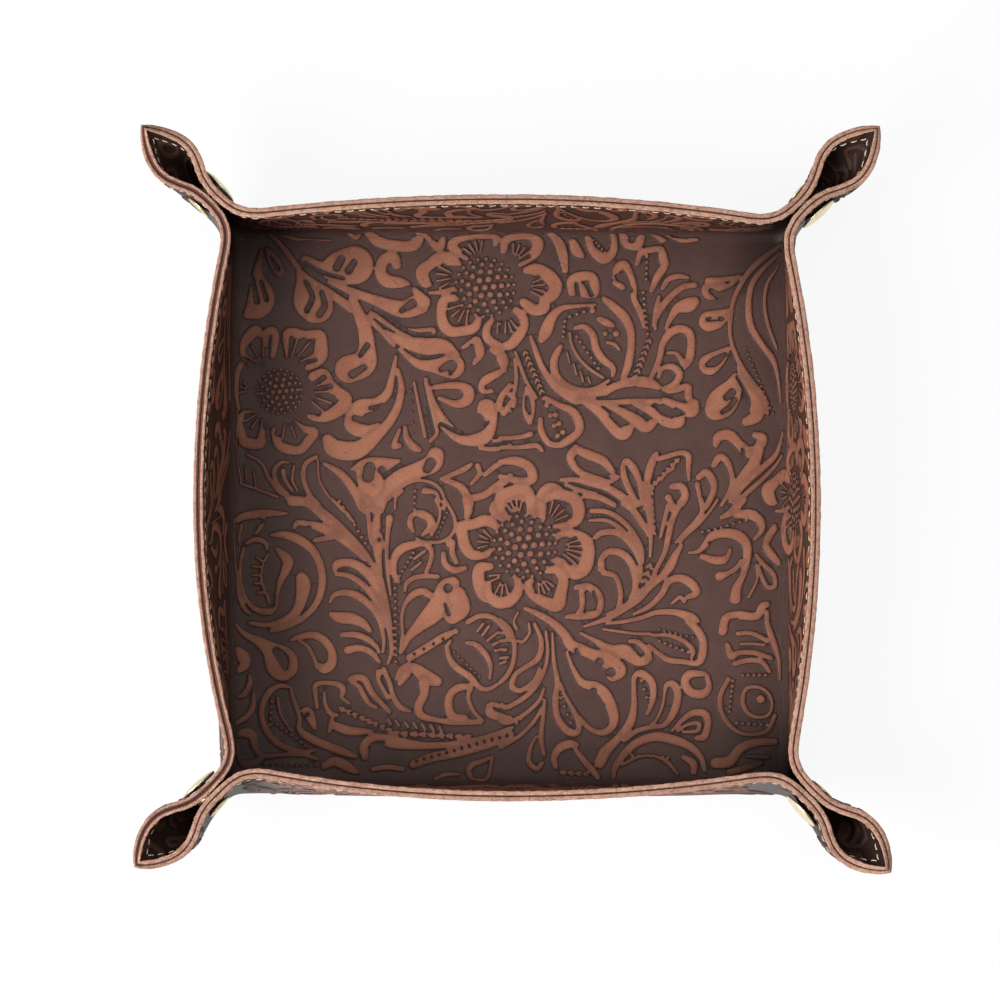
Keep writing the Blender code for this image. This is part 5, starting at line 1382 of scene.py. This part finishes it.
def numbered(sources, side_ids, start):
    """Point number of each place of the glued back, and the places that are new, numbered from start."""
    numbers, extra = [], []
    for k, source in enumerate(sources):
        first = source[0] if source else len(side_ids)
        if first < len(side_ids):
            numbers.append(side_ids[first])
        else:
            numbers.append(start + len(extra))
            extra.append(k)
    return np.array(numbers), extra


def leather_piece(name, columns, inside, faces, tooled_count, materials):
    """Piece whose first faces are tooled and whose others are raw, with normals of its own where given."""
    points, shown, depth, spots = (np.concatenate(column) for column in columns)
    mesh = sheet_mesh(name, points.tolist(), faces, spots / to_millimetres)
    for material in materials:
        mesh.materials.append(material)
    raw = np.arange(len(mesh.polygons)) >= tooled_count
    mesh.polygons.foreach_set("material_index", raw.astype(np.int32))
    distance = np.concatenate([inside, np.full(len(points) - len(inside), raw_inside)])
    mesh.attributes.new("inside", "FLOAT", "POINT").data.foreach_set("value", distance)
    mesh.attributes.new("depth", "FLOAT", "POINT").data.foreach_set("value", depth)
    given = np.zeros(len(mesh.vertices) * 3, np.float32)
    mesh.vertices.foreach_get("normal", given)
    given = given.reshape(-1, 3)
    mesh.validate()
    given = np.where(np.linalg.norm(shown, axis=-1, keepdims=True) > 0.3, shown, given)
    mesh.normals_split_custom_set_from_vertices(given.tolist())
    piece = bpy.data.objects.new(name, mesh)
    bpy.context.scene.collection.objects.link(piece)
    return piece


def leather_pieces(layer, field, spacing, levels, fill, holes, materials):
    """All thirteen pieces of one leather sheet, tooled on one face and raw on the other and at the edges."""
    way = 1 if layer == "lining" else -1
    flat, faces, panels = tooled_sheet(field, spacing, levels, fill, holes)
    inside = look_up(field, flat, field_half, field_step)
    drop = face_drop(layer, flat, inside)
    top = folded(flat / to_millimetres, way * (leather_top + drop / to_millimetres))
    normals = point_normals(top, faces, way)
    for number, panel in enumerate(panel_names):
        used, own = np.unique(faces[panels == number], return_inverse=True)
        own = own.reshape(-1, 3)
        place = flat[used]
        columns = [top[used]], [normals[used]], [np.zeros(len(used))], [place]
        side_faces, back_places, back_edges, side_ids = [], [], [], []
        start = len(used)
        for loop in border_loops(own, len(used)):
            size = len(loop)
            previous = np.array(loop)
            for row in side_rows(place[loop], drop[used][loop], way):
                for column, part in zip(columns, row, strict=True):
                    column.append(part)
                this = np.arange(start, start + size)
                after, below = np.roll(previous, -1), np.roll(this, -1)
                side_faces.append(np.stack([previous, this, below, after], axis=-1))
                previous = this
                start += size
            side_ids += this.tolist()
            first = len(back_places)
            back_places += columns[-1][-1].tolist()
            back_edges += [(first + k, first + (k + 1) % size) for k in range(size)]
        back_spots, back, sources = glued_back(number, place, back_places, back_edges, holes)
        numbers, extra = numbered(sources, side_ids, start)
        new_spots, count = back_spots[extra], len(extra)
        new_points = folded(new_spots / to_millimetres, np.full(count, way * layer_gap / 2))
        new_parts = new_points, np.zeros((count, 3)), np.full(count, leather_thickness), new_spots
        for column, part in zip(columns, new_parts, strict=True):
            column.append(part)
        all_faces = own.tolist() + np.concatenate(side_faces).tolist() + numbers[back][:, ::-1].tolist()
        if way < 0:
            all_faces = [face[::-1] for face in all_faces]
        name = f"{layer}_leather_{panel}"
        piece = leather_piece(name, columns, inside[used], all_faces, len(own), materials)
        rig.replaces(piece, f"{layer}_{panel}")
        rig.slot(piece, f"{layer}_leather")
        side = panel.split("_")[-1]
        if panel == "floor":
            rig.ride(piece, "floor")
        elif panel.startswith("wall"):
            start, end = across_crease(side)
            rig.blend(piece, "floor", panel, start=start, end=end)
        else:
            start, end = across_pinch(side, panel == f"ear_{corner_of[(side, True)]}_{side}")
            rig.blend(piece, f"wall_{side}", panel, start=start, end=end)


class Value:
    """An output of a material's nodes. Sums, products and the like of these add Math nodes."""

    def __init__(self, tree, output=None):
        self.tree, self.output = tree, output

    def node(self, kind, settings=None, result=0, **sockets):
        """Any other node, with its settings first, then the values or links of its sockets."""
        made = self.tree.nodes.new(kind)
        for name, setting in (settings or {}).items():
            setattr(made, name, setting)
        for name, value in sockets.items():
            socket = made.inputs[int(name[1:])] if name[0] == "_" else made.inputs[name.replace("_", " ")]
            if isinstance(value, Value):
                self.tree.links.new(value.output, socket)
            else:
                socket.default_value = value
        return Value(self.tree, made.outputs[result])

    def math(self, operation, *values):
        """Math node that works on the values."""
        sockets = {f"_{k}": value for k, value in enumerate(values)}
        return self.node("ShaderNodeMath", {"operation": operation}, **sockets)

    def __add__(self, other):
        return self.math("ADD", self, other)

    def __sub__(self, other):
        return self.math("SUBTRACT", self, other)

    def __rsub__(self, other):
        return self.math("SUBTRACT", other, self)

    def __mul__(self, other):
        return self.math("MULTIPLY", self, other)

    __radd__ = __add__
    __rmul__ = __mul__

    def __abs__(self):
        return self.math("ABSOLUTE", self)

    def rising(self, low, high):
        """0 below low, 1 above high and smooth between."""
        settings = {"interpolation_type": "SMOOTHSTEP"}
        return self.node("ShaderNodeMapRange", settings, Value=self, From_Min=low, From_Max=high)

    def mixed(self, first, second):
        """Colour that goes from the first to the second as this goes from 0 to 1."""
        first, second = ((*colour, 1) if isinstance(colour, tuple) else colour for colour in (first, second))
        return self.node("ShaderNodeMix", {"data_type": "RGBA"}, 2, Factor=self, _6=first, _7=second)


def new_material(name, **fixed):
    """Material with its shader's fixed values set, and the shader and a value to start expressions from."""
    material = bpy.data.materials.new(name)
    material.use_nodes = True
    shader = material.node_tree.nodes["Principled BSDF"]
    for socket, value in fixed.items():
        shader.inputs[socket.replace("_", " ")].default_value = value
    return material, shader, Value(material.node_tree)


def connect(shader, **sockets):
    """Link values to the shader's sockets."""
    for name, value in sockets.items():
        value.tree.links.new(value.output, shader.inputs[name.replace("_", " ")])


def tooled_leather(name, tan, red_tan, brown, line, rim_highlight):
    """Grain side of the leather: tan raised shapes with a near-black line round them, partly dye and partly painted
    shade, and a painted grey highlight along their edges, on a dark ground, with painted shade in the creases, towards
    the floor's sides and near the corners.
    """
    material, shader, value = new_material(name, IOR=1.45, Specular_IOR_Level=0.22)
    inside = value.node("ShaderNodeAttribute", {"attribute_name": "inside"}, 2)
    sheet = value.node("ShaderNodeUVMap", {"uv_map": "sheet"})
    u = value.node("ShaderNodeSeparateXYZ", _0=sheet)
    v = Value(u.tree, u.output.node.outputs[1])
    p = value.math("MAXIMUM", abs(u), abs(v))
    q = value.math("MINIMUM", abs(u), abs(v))
    broad = value.node("ShaderNodeTexNoise", Vector=sheet, Scale=70.0, Detail=3.0, Roughness=0.6)
    patch = value.node("ShaderNodeTexNoise", Vector=sheet, Scale=210.0, Detail=4.0, Roughness=0.65)
    fine = value.node("ShaderNodeTexNoise", Vector=sheet, Scale=1500.0, Detail=5.0, Roughness=0.7)
    pores = value.node("ShaderNodeTexVoronoi", {"feature": "F1"}, Vector=sheet, Scale=1900.0)
    raised = inside.rising(-0.06, 0.12)
    # Painted highlight: a pale grey line along the raised shapes' edges, where their bevel would catch the lamps.
    rim = inside.rising(-0.1, -0.02) * (1 - inside.rising(0.0, 0.1))
    # The near-black line round the shapes: partly dye pressed into the line, partly painted shade.
    cut_line_dye_and_shade = inside.rising(-0.42, -0.2) * (1 - inside.rising(-0.06, 0.1))
    smudge = patch.rising(0.6, 0.72) * inside.rising(0.6, 1.3)
    tan_mix = broad.rising(0.35, 0.65).mixed(tan, red_tan)
    tan_mix = (fine.rising(0.35, 0.75) * 0.35).mixed(tan_mix, brown)
    tan_mix = (smudge * 0.5).mixed(tan_mix, brown)
    # The tan darkens towards the shapes' edges: partly antique finish, partly painted shade that gives them depth.
    tan_mix = ((1 - inside.rising(0.12, 0.9)) * (0.15 + 0.3 * broad)).mixed(tan_mix, brown)
    darker, lighter = (tuple(channel * change for channel in brown) for change in (0.82, 1.2))
    ground = (broad * 0.6 + fine * 0.4).rising(0.3, 0.75).mixed(darker, lighter)
    ground = (fine.rising(0.66, 0.74) * 0.25).mixed(ground, tan)
    # The crease, where the leather is pressed into fine wrinkles.
    in_crease = (1 - abs(p - floor_half).rising(0.002, 0.0075)) * (1 - q.rising(0.094, floor_half))
    along = value.node("ShaderNodeCombineXYZ", _0=p * 2600.0, _1=q * 190.0)
    lines = value.node("ShaderNodeTexNoise", Vector=along, Scale=1.0, Detail=3.0, Roughness=0.6)
    colour = raised.mixed(ground, tan_mix)
    # Painted highlight along the shapes' edges.
    colour = (rim * 0.35).mixed(colour, rim_highlight)
    colour = (cut_line_dye_and_shade * 0.75).mixed(colour, line)
    # Painted shade: dark lines along the crease's wrinkles.
    colour = (in_crease * lines.rising(0.5, 0.62) * 0.6).mixed(colour, line)
    # Painted shade: the colour is darkened towards the floor's sides, most at the left and the front, which the walls
    # shade from the lamp, and near the corners.
    floor_border_shade = p.rising(0.062, 0.1) * (1 - p.rising(0.102, 0.11))
    colour = (floor_border_shade * (0.22 - u * 0.9 - v * 0.6)).mixed(colour, line)
    # Painted shade near the corners and in the ears, where the folded leather shades itself.
    colour = (q.rising(0.068, 0.1) * 0.85).mixed(colour, line)
    connect(shader, Base_Color=colour, Roughness=0.42 + 0.16 * raised + 0.12 * fine)
    bumps = fine * 0.00012 + pores * (0.00008 + 0.00006 * raised)
    bumps = bumps + in_crease * lines * 0.0005
    normal = value.node("ShaderNodeBump", Strength=0.55, Distance=1.0, Height=bumps)
    connect(shader, Normal=normal)
    return material


def raw_suede(name, pale, dusty, dark, glue):
    """Cut edge of the leather: fuzzy tan fibres, a pale line at the grain and a brown one at the glue."""
    material, shader, value = new_material(name, Roughness=0.95, IOR=1.4, Specular_IOR_Level=0.15)
    depth = value.node("ShaderNodeAttribute", {"attribute_name": "depth"}, 2)
    sheet = value.node("ShaderNodeUVMap", {"uv_map": "sheet"})
    u = value.node("ShaderNodeSeparateXYZ", _0=sheet)
    v = Value(u.tree, u.output.node.outputs[1])
    left_wall = 1 - u.rising(-0.1485, -0.1465)
    place = value.node("ShaderNodeTexCoord", None, 3)
    fibres = value.node("ShaderNodeTexNoise", Vector=place, Scale=1700.0, Detail=4.0, Roughness=0.75)
    blotch = value.node("ShaderNodeTexNoise", Vector=place, Scale=260.0, Detail=3.0, Roughness=0.6)
    run = value.node("ShaderNodeCombineXYZ", _0=(u + v) * 420.0, _1=depth * 3.0)
    strands = value.node("ShaderNodeTexNoise", Vector=run, Scale=1.0, Detail=4.0, Roughness=0.65)
    colour = (0.35 * fibres + 0.2 * blotch + 0.45 * strands).rising(0.42, 0.58).mixed(dusty, pale)
    colour = (fibres.rising(0.54, 0.66) * 0.6).mixed(colour, dark)
    clumps = value.node("ShaderNodeTexNoise", Vector=place, Scale=620.0, Detail=5.0, Roughness=0.8)
    colour = (clumps.rising(0.5, 0.6) * 0.5).mixed(colour, dark)
    colour = ((1 - clumps.rising(0.36, 0.46)) * 0.5).mixed(colour, pale)
    colour = ((1 - depth.rising(0.05, 0.22)) * 0.4).mixed(colour, pale)
    # On the left wall's rim the dark glue colour reaches further up, as a broad dark line.
    colour = (depth + left_wall * 0.5 + fibres * 0.3).rising(1.6, 1.8).mixed(colour, glue)
    normal = value.node("ShaderNodeBump", Strength=0.8, Distance=1.0, Height=fibres * 0.0005)
    connect(shader, Base_Color=colour, Normal=normal)
    return material


lining_finish = tooled_leather(
    "lining_tooling",
    tan=(0.345, 0.138, 0.080),
    red_tan=(0.285, 0.104, 0.061),
    brown=(0.074, 0.035, 0.028),
    line=(0.016, 0.008, 0.006),
    rim_highlight=(0.24, 0.17, 0.17),
)
outer_finish = tooled_leather(
    "outer_tooling",
    tan=(0.42, 0.205, 0.125),
    red_tan=(0.36, 0.155, 0.092),
    brown=(0.135, 0.098, 0.092),
    line=(0.03, 0.018, 0.016),
    rim_highlight=(0.3, 0.24, 0.24),
)
lining_edge = raw_suede(
    "lining_cut_edge",
    pale=(0.58, 0.35, 0.255),
    dusty=(0.38, 0.2, 0.145),
    dark=(0.16, 0.07, 0.05),
    glue=(0.12, 0.055, 0.04),
)
outer_edge = raw_suede(
    "outer_cut_edge",
    pale=(0.52, 0.31, 0.225),
    dusty=(0.34, 0.18, 0.13),
    dark=(0.15, 0.065, 0.045),
    glue=(0.12, 0.055, 0.04),
)
outline_levels = (-0.28, 0.14)
socket_hole, stud_hole = 5.1, 4.1
lining_finishes, outer_finishes = (lining_finish, lining_edge), (outer_finish, outer_edge)
leather_pieces("lining", field, 0.62, outline_levels, 1.6, (socket_hole, stud_hole), lining_finishes)
leather_pieces("outer", field.T, 0.95, outline_levels, 2.2, (None, None), outer_finishes)

# The stitching: one waxed cream thread, half a millimetre thick, sewn through both sheets 4 mm in from the
# edge, seventy stitches to a side. Each stitch comes up out of its hole, lies in its groove and goes down
# into the next.
stitch_row = stitch_line / to_millimetres
stitch_count = 70
stitch_pitch = 2 * stitch_row / stitch_count
stitch_share, stitch_unevenness, stitch_slant = 0.64, 0.03, 0.00008
thread_radius = 0.00026
thread_hole_depth, stitch_rise = 0.0009, 0.00068
wall_seam_half = 0.1
rng = np.random.default_rng(7)
bpy.ops.object.select_all(action="DESELECT")
bpy.ops.mesh.primitive_cylinder_add(vertices=8, radius=1, depth=1, rotation=(0, math.pi / 2, 0))
stitch = bpy.context.object
bpy.ops.object.transform_apply(location=False, rotation=True, scale=True)
bpy.ops.object.mode_set(mode="EDIT")
for bend_place in (-0.3, 0.3, 0, -0.42, 0.42):
    bpy.ops.mesh.select_all(action="SELECT")
    bpy.ops.mesh.bisect(plane_co=(bend_place, 0, 0), plane_no=(1, 0, 0))
bpy.ops.mesh.normals_make_consistent(inside=False)
bpy.ops.object.mode_set(mode="OBJECT")
stitch_shape = np.array([vertex.co for vertex in stitch.data.vertices])
stitch_faces = [tuple(face.vertices) for face in stitch.data.polygons]
bpy.data.objects.remove(stitch)
thread_finish, shader, value = new_material("waxed_thread", Roughness=0.55, IOR=1.45)
sheet = value.node("ShaderNodeUVMap", {"uv_map": "sheet"})
bands = {"bands_direction": "DIAGONAL"}
twist = value.node("ShaderNodeTexWave", bands, Vector=sheet, Scale=900.0, Distortion=1.0)
wear = value.node("ShaderNodeTexNoise", Vector=sheet, Scale=500.0, Detail=2.0)
connect(
    shader,
    Base_Color=(wear.rising(0.4, 0.7) * 0.5).mixed((0.66, 0.54, 0.38), (0.48, 0.36, 0.23)),
    Normal=value.node("ShaderNodeBump", Strength=0.6, Distance=1.0, Height=twist * 0.00012),
)


def stitches(name, side, mirrored, first, last, node, ride):
    """Run of stitches, on both faces of the leather, between two places along an edge."""
    points, faces, spots = [], [], []
    for k in range(stitch_count):
        middle = -stitch_row + (k + 0.5) * stitch_pitch
        if not first <= middle < last:
            continue
        length = stitch_pitch * (stitch_share + rng.uniform(-stitch_unevenness, stitch_unevenness))
        slant = rng.normal(0, stitch_slant)
        for way in (1, -1):
            x, y, z = stitch_shape.T
            arch = np.cos(np.clip(x * 2, -1, 1) * math.pi / 2)
            lift = leather_top - thread_hole_depth + stitch_rise * np.maximum(arch, 0) ** 0.25
            flat = np.stack([stitch_row + y * thread_radius * 1.1 + slant * x, middle + x * length], axis=-1)
            start = len(points)
            points += folded(turned(flat, side, mirrored), way * (lift + z * thread_radius * 0.8)).tolist()
            spots += flat.tolist()
            turn = -1 if way * (-1 if mirrored else 1) > 0 else 1
            faces += [tuple(start + i for i in face[::turn]) for face in stitch_faces]
    mesh = sheet_mesh(name, points, faces, spots)
    mesh.materials.append(thread_finish)
    piece = bpy.data.objects.new(name, mesh)
    bpy.context.scene.collection.objects.link(piece)
    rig.replaces(piece, node)
    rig.slot(piece, "thread")
    ride(piece)


for side in sides:
    wall = f"wall_{side}"
    ends = -wall_seam_half, wall_seam_half
    stitches(f"stitches_{wall}", side, False, *ends, f"thread_{wall}", lambda piece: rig.ride(piece, wall))
    for mirrored in (False, True):
        ear = f"ear_{corner_of[(side, mirrored)]}_{side}"
        start, end = across_pinch(side, mirrored)
        stitches(
            f"stitches_{ear}",
            side,
            mirrored,
            wall_seam_half,
            stitch_row,
            f"thread_{ear}",
            lambda piece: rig.blend(piece, wall, ear, start=start, end=end),
        )

# The four snaps. Each has a pale brass cap, 14.5 mm across, whose shank is set through one half of the ear
# into a socket, and a stud held through the other half by a flanged post. All are turned or pressed brass.
cap_lift, flange_lift = 0.0011, 0.0005


def brass(name, colour, dull):
    """Brass with dull, slightly rough patches of wear."""
    material, shader, value = new_material(name, Metallic=1.0)
    place = value.node("ShaderNodeTexCoord", None, 3)
    wear = value.node("ShaderNodeTexNoise", Vector=place, Scale=420.0, Detail=4.0, Roughness=0.6)
    scuffs = value.node("ShaderNodeTexNoise", Vector=place, Scale=2400.0, Detail=3.0)
    connect(
        shader,
        Base_Color=(wear.rising(0.45, 0.75) * 0.6).mixed(colour, dull),
        Roughness=0.3 + 0.2 * wear + 0.06 * scuffs,
        Normal=value.node("ShaderNodeBump", Strength=0.3, Distance=1.0, Height=wear * 0.00004),
    )
    return material


cap_finish = brass("cap_pale_brass", (0.90, 0.80, 0.55), (0.72, 0.58, 0.34))
snap_finish = brass("snap_brass", (0.78, 0.63, 0.34), (0.52, 0.38, 0.18))


def turned_piece(name, profile, centre, axis, finish, node, slot, ear):
    """Piece of a snap, spun from a profile of radius and height in millimetres from axis to axis."""
    mesh = bpy.data.meshes.new(name)
    edges = [(k, k + 1) for k in range(len(profile) - 1)]
    mesh.from_pydata([(radius, 0, height) for radius, height in profile], edges, [])
    piece = bpy.data.objects.new(name, mesh)
    bpy.context.scene.collection.objects.link(piece)
    bpy.ops.object.select_all(action="DESELECT")
    bpy.context.view_layer.objects.active = piece
    piece.select_set(True)
    bpy.ops.object.mode_set(mode="EDIT")
    bpy.ops.mesh.select_all(action="SELECT")
    bpy.ops.mesh.spin(steps=48, angle=2 * math.pi, center=(0, 0, 0), axis=(0, 0, 1))
    bpy.ops.mesh.select_all(action="SELECT")
    bpy.ops.mesh.remove_doubles(threshold=0.0005)
    bpy.ops.mesh.normals_make_consistent(inside=False)
    bpy.ops.object.mode_set(mode="OBJECT")
    bpy.ops.object.shade_smooth_by_angle(angle=math.radians(40))
    turn = Vector(axis).to_track_quat("Z", "Y").to_matrix().to_4x4()
    piece.data.transform(Matrix.Translation(centre) @ turn @ Matrix.Scale(1 / to_millimetres, 4))
    piece.data.materials.append(finish)
    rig.replaces(piece, node)
    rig.slot(piece, slot)
    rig.ride(piece, ear)


def arc(centre_radius, centre_height, size, start, end, count):
    """Round stretch of a profile, between two angles in degrees."""
    angles = [math.radians(start + (end - start) * k / count) for k in range(count + 1)]
    return [(centre_radius + size * math.cos(a), centre_height + size * math.sin(a)) for a in angles]


# Profiles in millimetres, with the cap's first. Its rounded top is a shallow dome.
dome = [(7.0 * math.sin(a), 1.15 + 0.92 * (math.cos(a) - 0.3) / 0.7) for a in np.linspace(1.2, 0, 12)[:-1]]
cap_profile = [
    *((0, 0.25), (1.9, 0.25), (1.9, 0.55), (6.5, 0.4)),
    *arc(6.75, 0.62, 0.5, -110, 40, 8),
    *dome,
    (0, 2.07),
]
post_profile = [
    *((0, 0.0), (4.3, 0.0)),
    *arc(4.3, 0.45, 0.45, -90, 90, 8),
    *((3.2, 0.8), (1.9, 0.72)),
    *arc(1.7, 0.55, 0.25, 60, 180, 4),
    *((1.35, 0.1), (0, 0.05)),
]
stud_profile = [
    *((0, 0.3), (3.5, 0.3), (3.6, 0.5), (3.45, 0.86), (2.0, 0.9), (1.3, 0.95), (1.25, 1.6)),
    *((1.65, 2.2), (1.7, 2.5), (1.5, 2.85), (0.9, 3.05), (0, 3.1)),
]
socket_profile = [
    *((0, 0.3), (4.5, 0.3), (4.6, 0.5)),
    *arc(4.2, 1.6, 0.4, 0, 120, 5),
    *((3.2, 1.75), (2.6, 1.7), (2.3, 1.5), (2.25, 0.7), (0, 0.6)),
]
for side in sides:
    for mirrored in (False, True):
        corner = corner_of[(side, mirrored)]
        ear = f"ear_{corner}_{side}"
        spot = turned([np.array(snap_place) / to_millimetres], side, mirrored)
        centre = folded(spot, [0.0])[0]
        inward = folded(spot, [1.0])[0] - centre
        if mirrored:
            foot = centre - inward * (leather_top + flange_lift)
            parts = (
                ("post", post_profile, foot, -inward, snap_finish),
                ("stud", stud_profile, centre, inward, snap_finish),
            )
        else:
            foot = centre - inward * (leather_top + cap_lift)
            parts = (
                ("cap", cap_profile, foot, -inward, cap_finish),
                ("socket", socket_profile, centre, inward, snap_finish),
            )
        for part, profile, middle, axis, finish in parts:
            node, slot = f"snap_{part}_{corner}", f"{part}_brass"
            turned_piece(f"{part}_{corner}", profile, middle, axis, finish, node, slot, ear)

# The camera stands almost straight above the tray, a little to the front, as in the photograph.
elevation = math.radians(84.63)
sideways = math.radians(-0.61)
distance = 1.307
lens_pixels = 3586
picture_middle_pixels = (508.9, 508.0)
picture_pixels = 1000
sensor_width = 36
camera_data = bpy.data.cameras.new("camera")
camera_data.sensor_width = sensor_width
camera_data.lens = sensor_width * lens_pixels / picture_pixels
camera_data.shift_x = (picture_pixels / 2 - picture_middle_pixels[0]) / picture_pixels
camera_data.shift_y = (picture_middle_pixels[1] - picture_pixels / 2) / picture_pixels
camera_data.clip_start = 0.05
camera = bpy.data.objects.new("camera", camera_data)
bpy.context.scene.collection.objects.link(camera)
tilt = np.array(
    [
        [math.cos(sideways), 0, -math.sin(sideways)],
        [0, 1, 0],
        [math.sin(sideways), 0, math.cos(sideways)],
    ]
)
axes = np.array(
    [
        [1, 0, 0],
        [0, math.sin(elevation), math.cos(elevation)],
        [0, -math.cos(elevation), math.sin(elevation)],
    ]
) @ tilt
stand = axes[2] * distance - tray_offset
camera.matrix_world = Matrix([[*axes[:, row], stand[row]] for row in range(3)] + [[0, 0, 0, 1]])
bpy.context.scene.camera = camera

# The plain pale floor that the tray stands on. Seen straight or mirrored, it glows, so that it comes out
# almost white and still keeps the tray's shadow.
floor_glow = 0.9
bpy.ops.object.select_all(action="DESELECT")
bpy.ops.mesh.primitive_plane_add(size=6, location=(0, 0, -0.0002))
ground = bpy.context.object
ground.name = "studio_floor"
pale_lilac = (0.80, 0.775, 0.85, 1)
floor_finish, shader, value = new_material(
    "pale_floor", Roughness=1.0, Specular_IOR_Level=0.0, Base_Color=pale_lilac
)
rays = value.node("ShaderNodeLightPath")
is_glossy = Value(rays.tree, rays.output.node.outputs["Is Glossy Ray"])
is_transmission = Value(rays.tree, rays.output.node.outputs["Is Transmission Ray"])
seen = value.math("MAXIMUM", rays, value.math("MAXIMUM", is_glossy, is_transmission))
glow = floor_finish.node_tree.nodes.new("ShaderNodeEmission")
blend_node = floor_finish.node_tree.nodes.new("ShaderNodeMixShader")
links = floor_finish.node_tree.links
links.new((seen * floor_glow).output, blend_node.inputs[0])
links.new(shader.outputs[0], blend_node.inputs[1])
links.new(glow.outputs[0], blend_node.inputs[2])
links.new(blend_node.outputs[0], floor_finish.node_tree.nodes["Material Output"].inputs["Surface"])
ground.data.materials.append(floor_finish)
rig.stage(ground)

# Soft studio light, from above and the front left, in metres and watts.
lamps = (("key", (-1.0, -0.6, 1.05), 1.0, 34), ("fill", (0.3, 0.2, 1.9), 1.4, 12))
for name, place, size, power in lamps:
    lamp_data = bpy.data.lights.new(name, "AREA")
    lamp_data.shape = "DISK"
    lamp_data.size = size
    lamp_data.energy = power
    lamp = bpy.data.objects.new(name, lamp_data)
    bpy.context.scene.collection.objects.link(lamp)
    lamp.matrix_world = Matrix.Translation(place) @ Vector(place).to_track_quat("Z", "Y").to_matrix().to_4x4()
world = bpy.data.worlds.new("studio")
bpy.context.scene.world = world
world.use_nodes = True
backdrop = world.node_tree.nodes["Background"]
backdrop.inputs["Color"].default_value = (1, 1, 1, 1)
backdrop.inputs["Strength"].default_value = 0.28
bpy.context.scene.view_settings.view_transform = "Standard"

json.dump({"cad": [list(map(float, corner)) for corner in cad_box], "visual": [list(map(float, corner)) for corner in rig.bounds()]}, open("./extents.json", "w"))
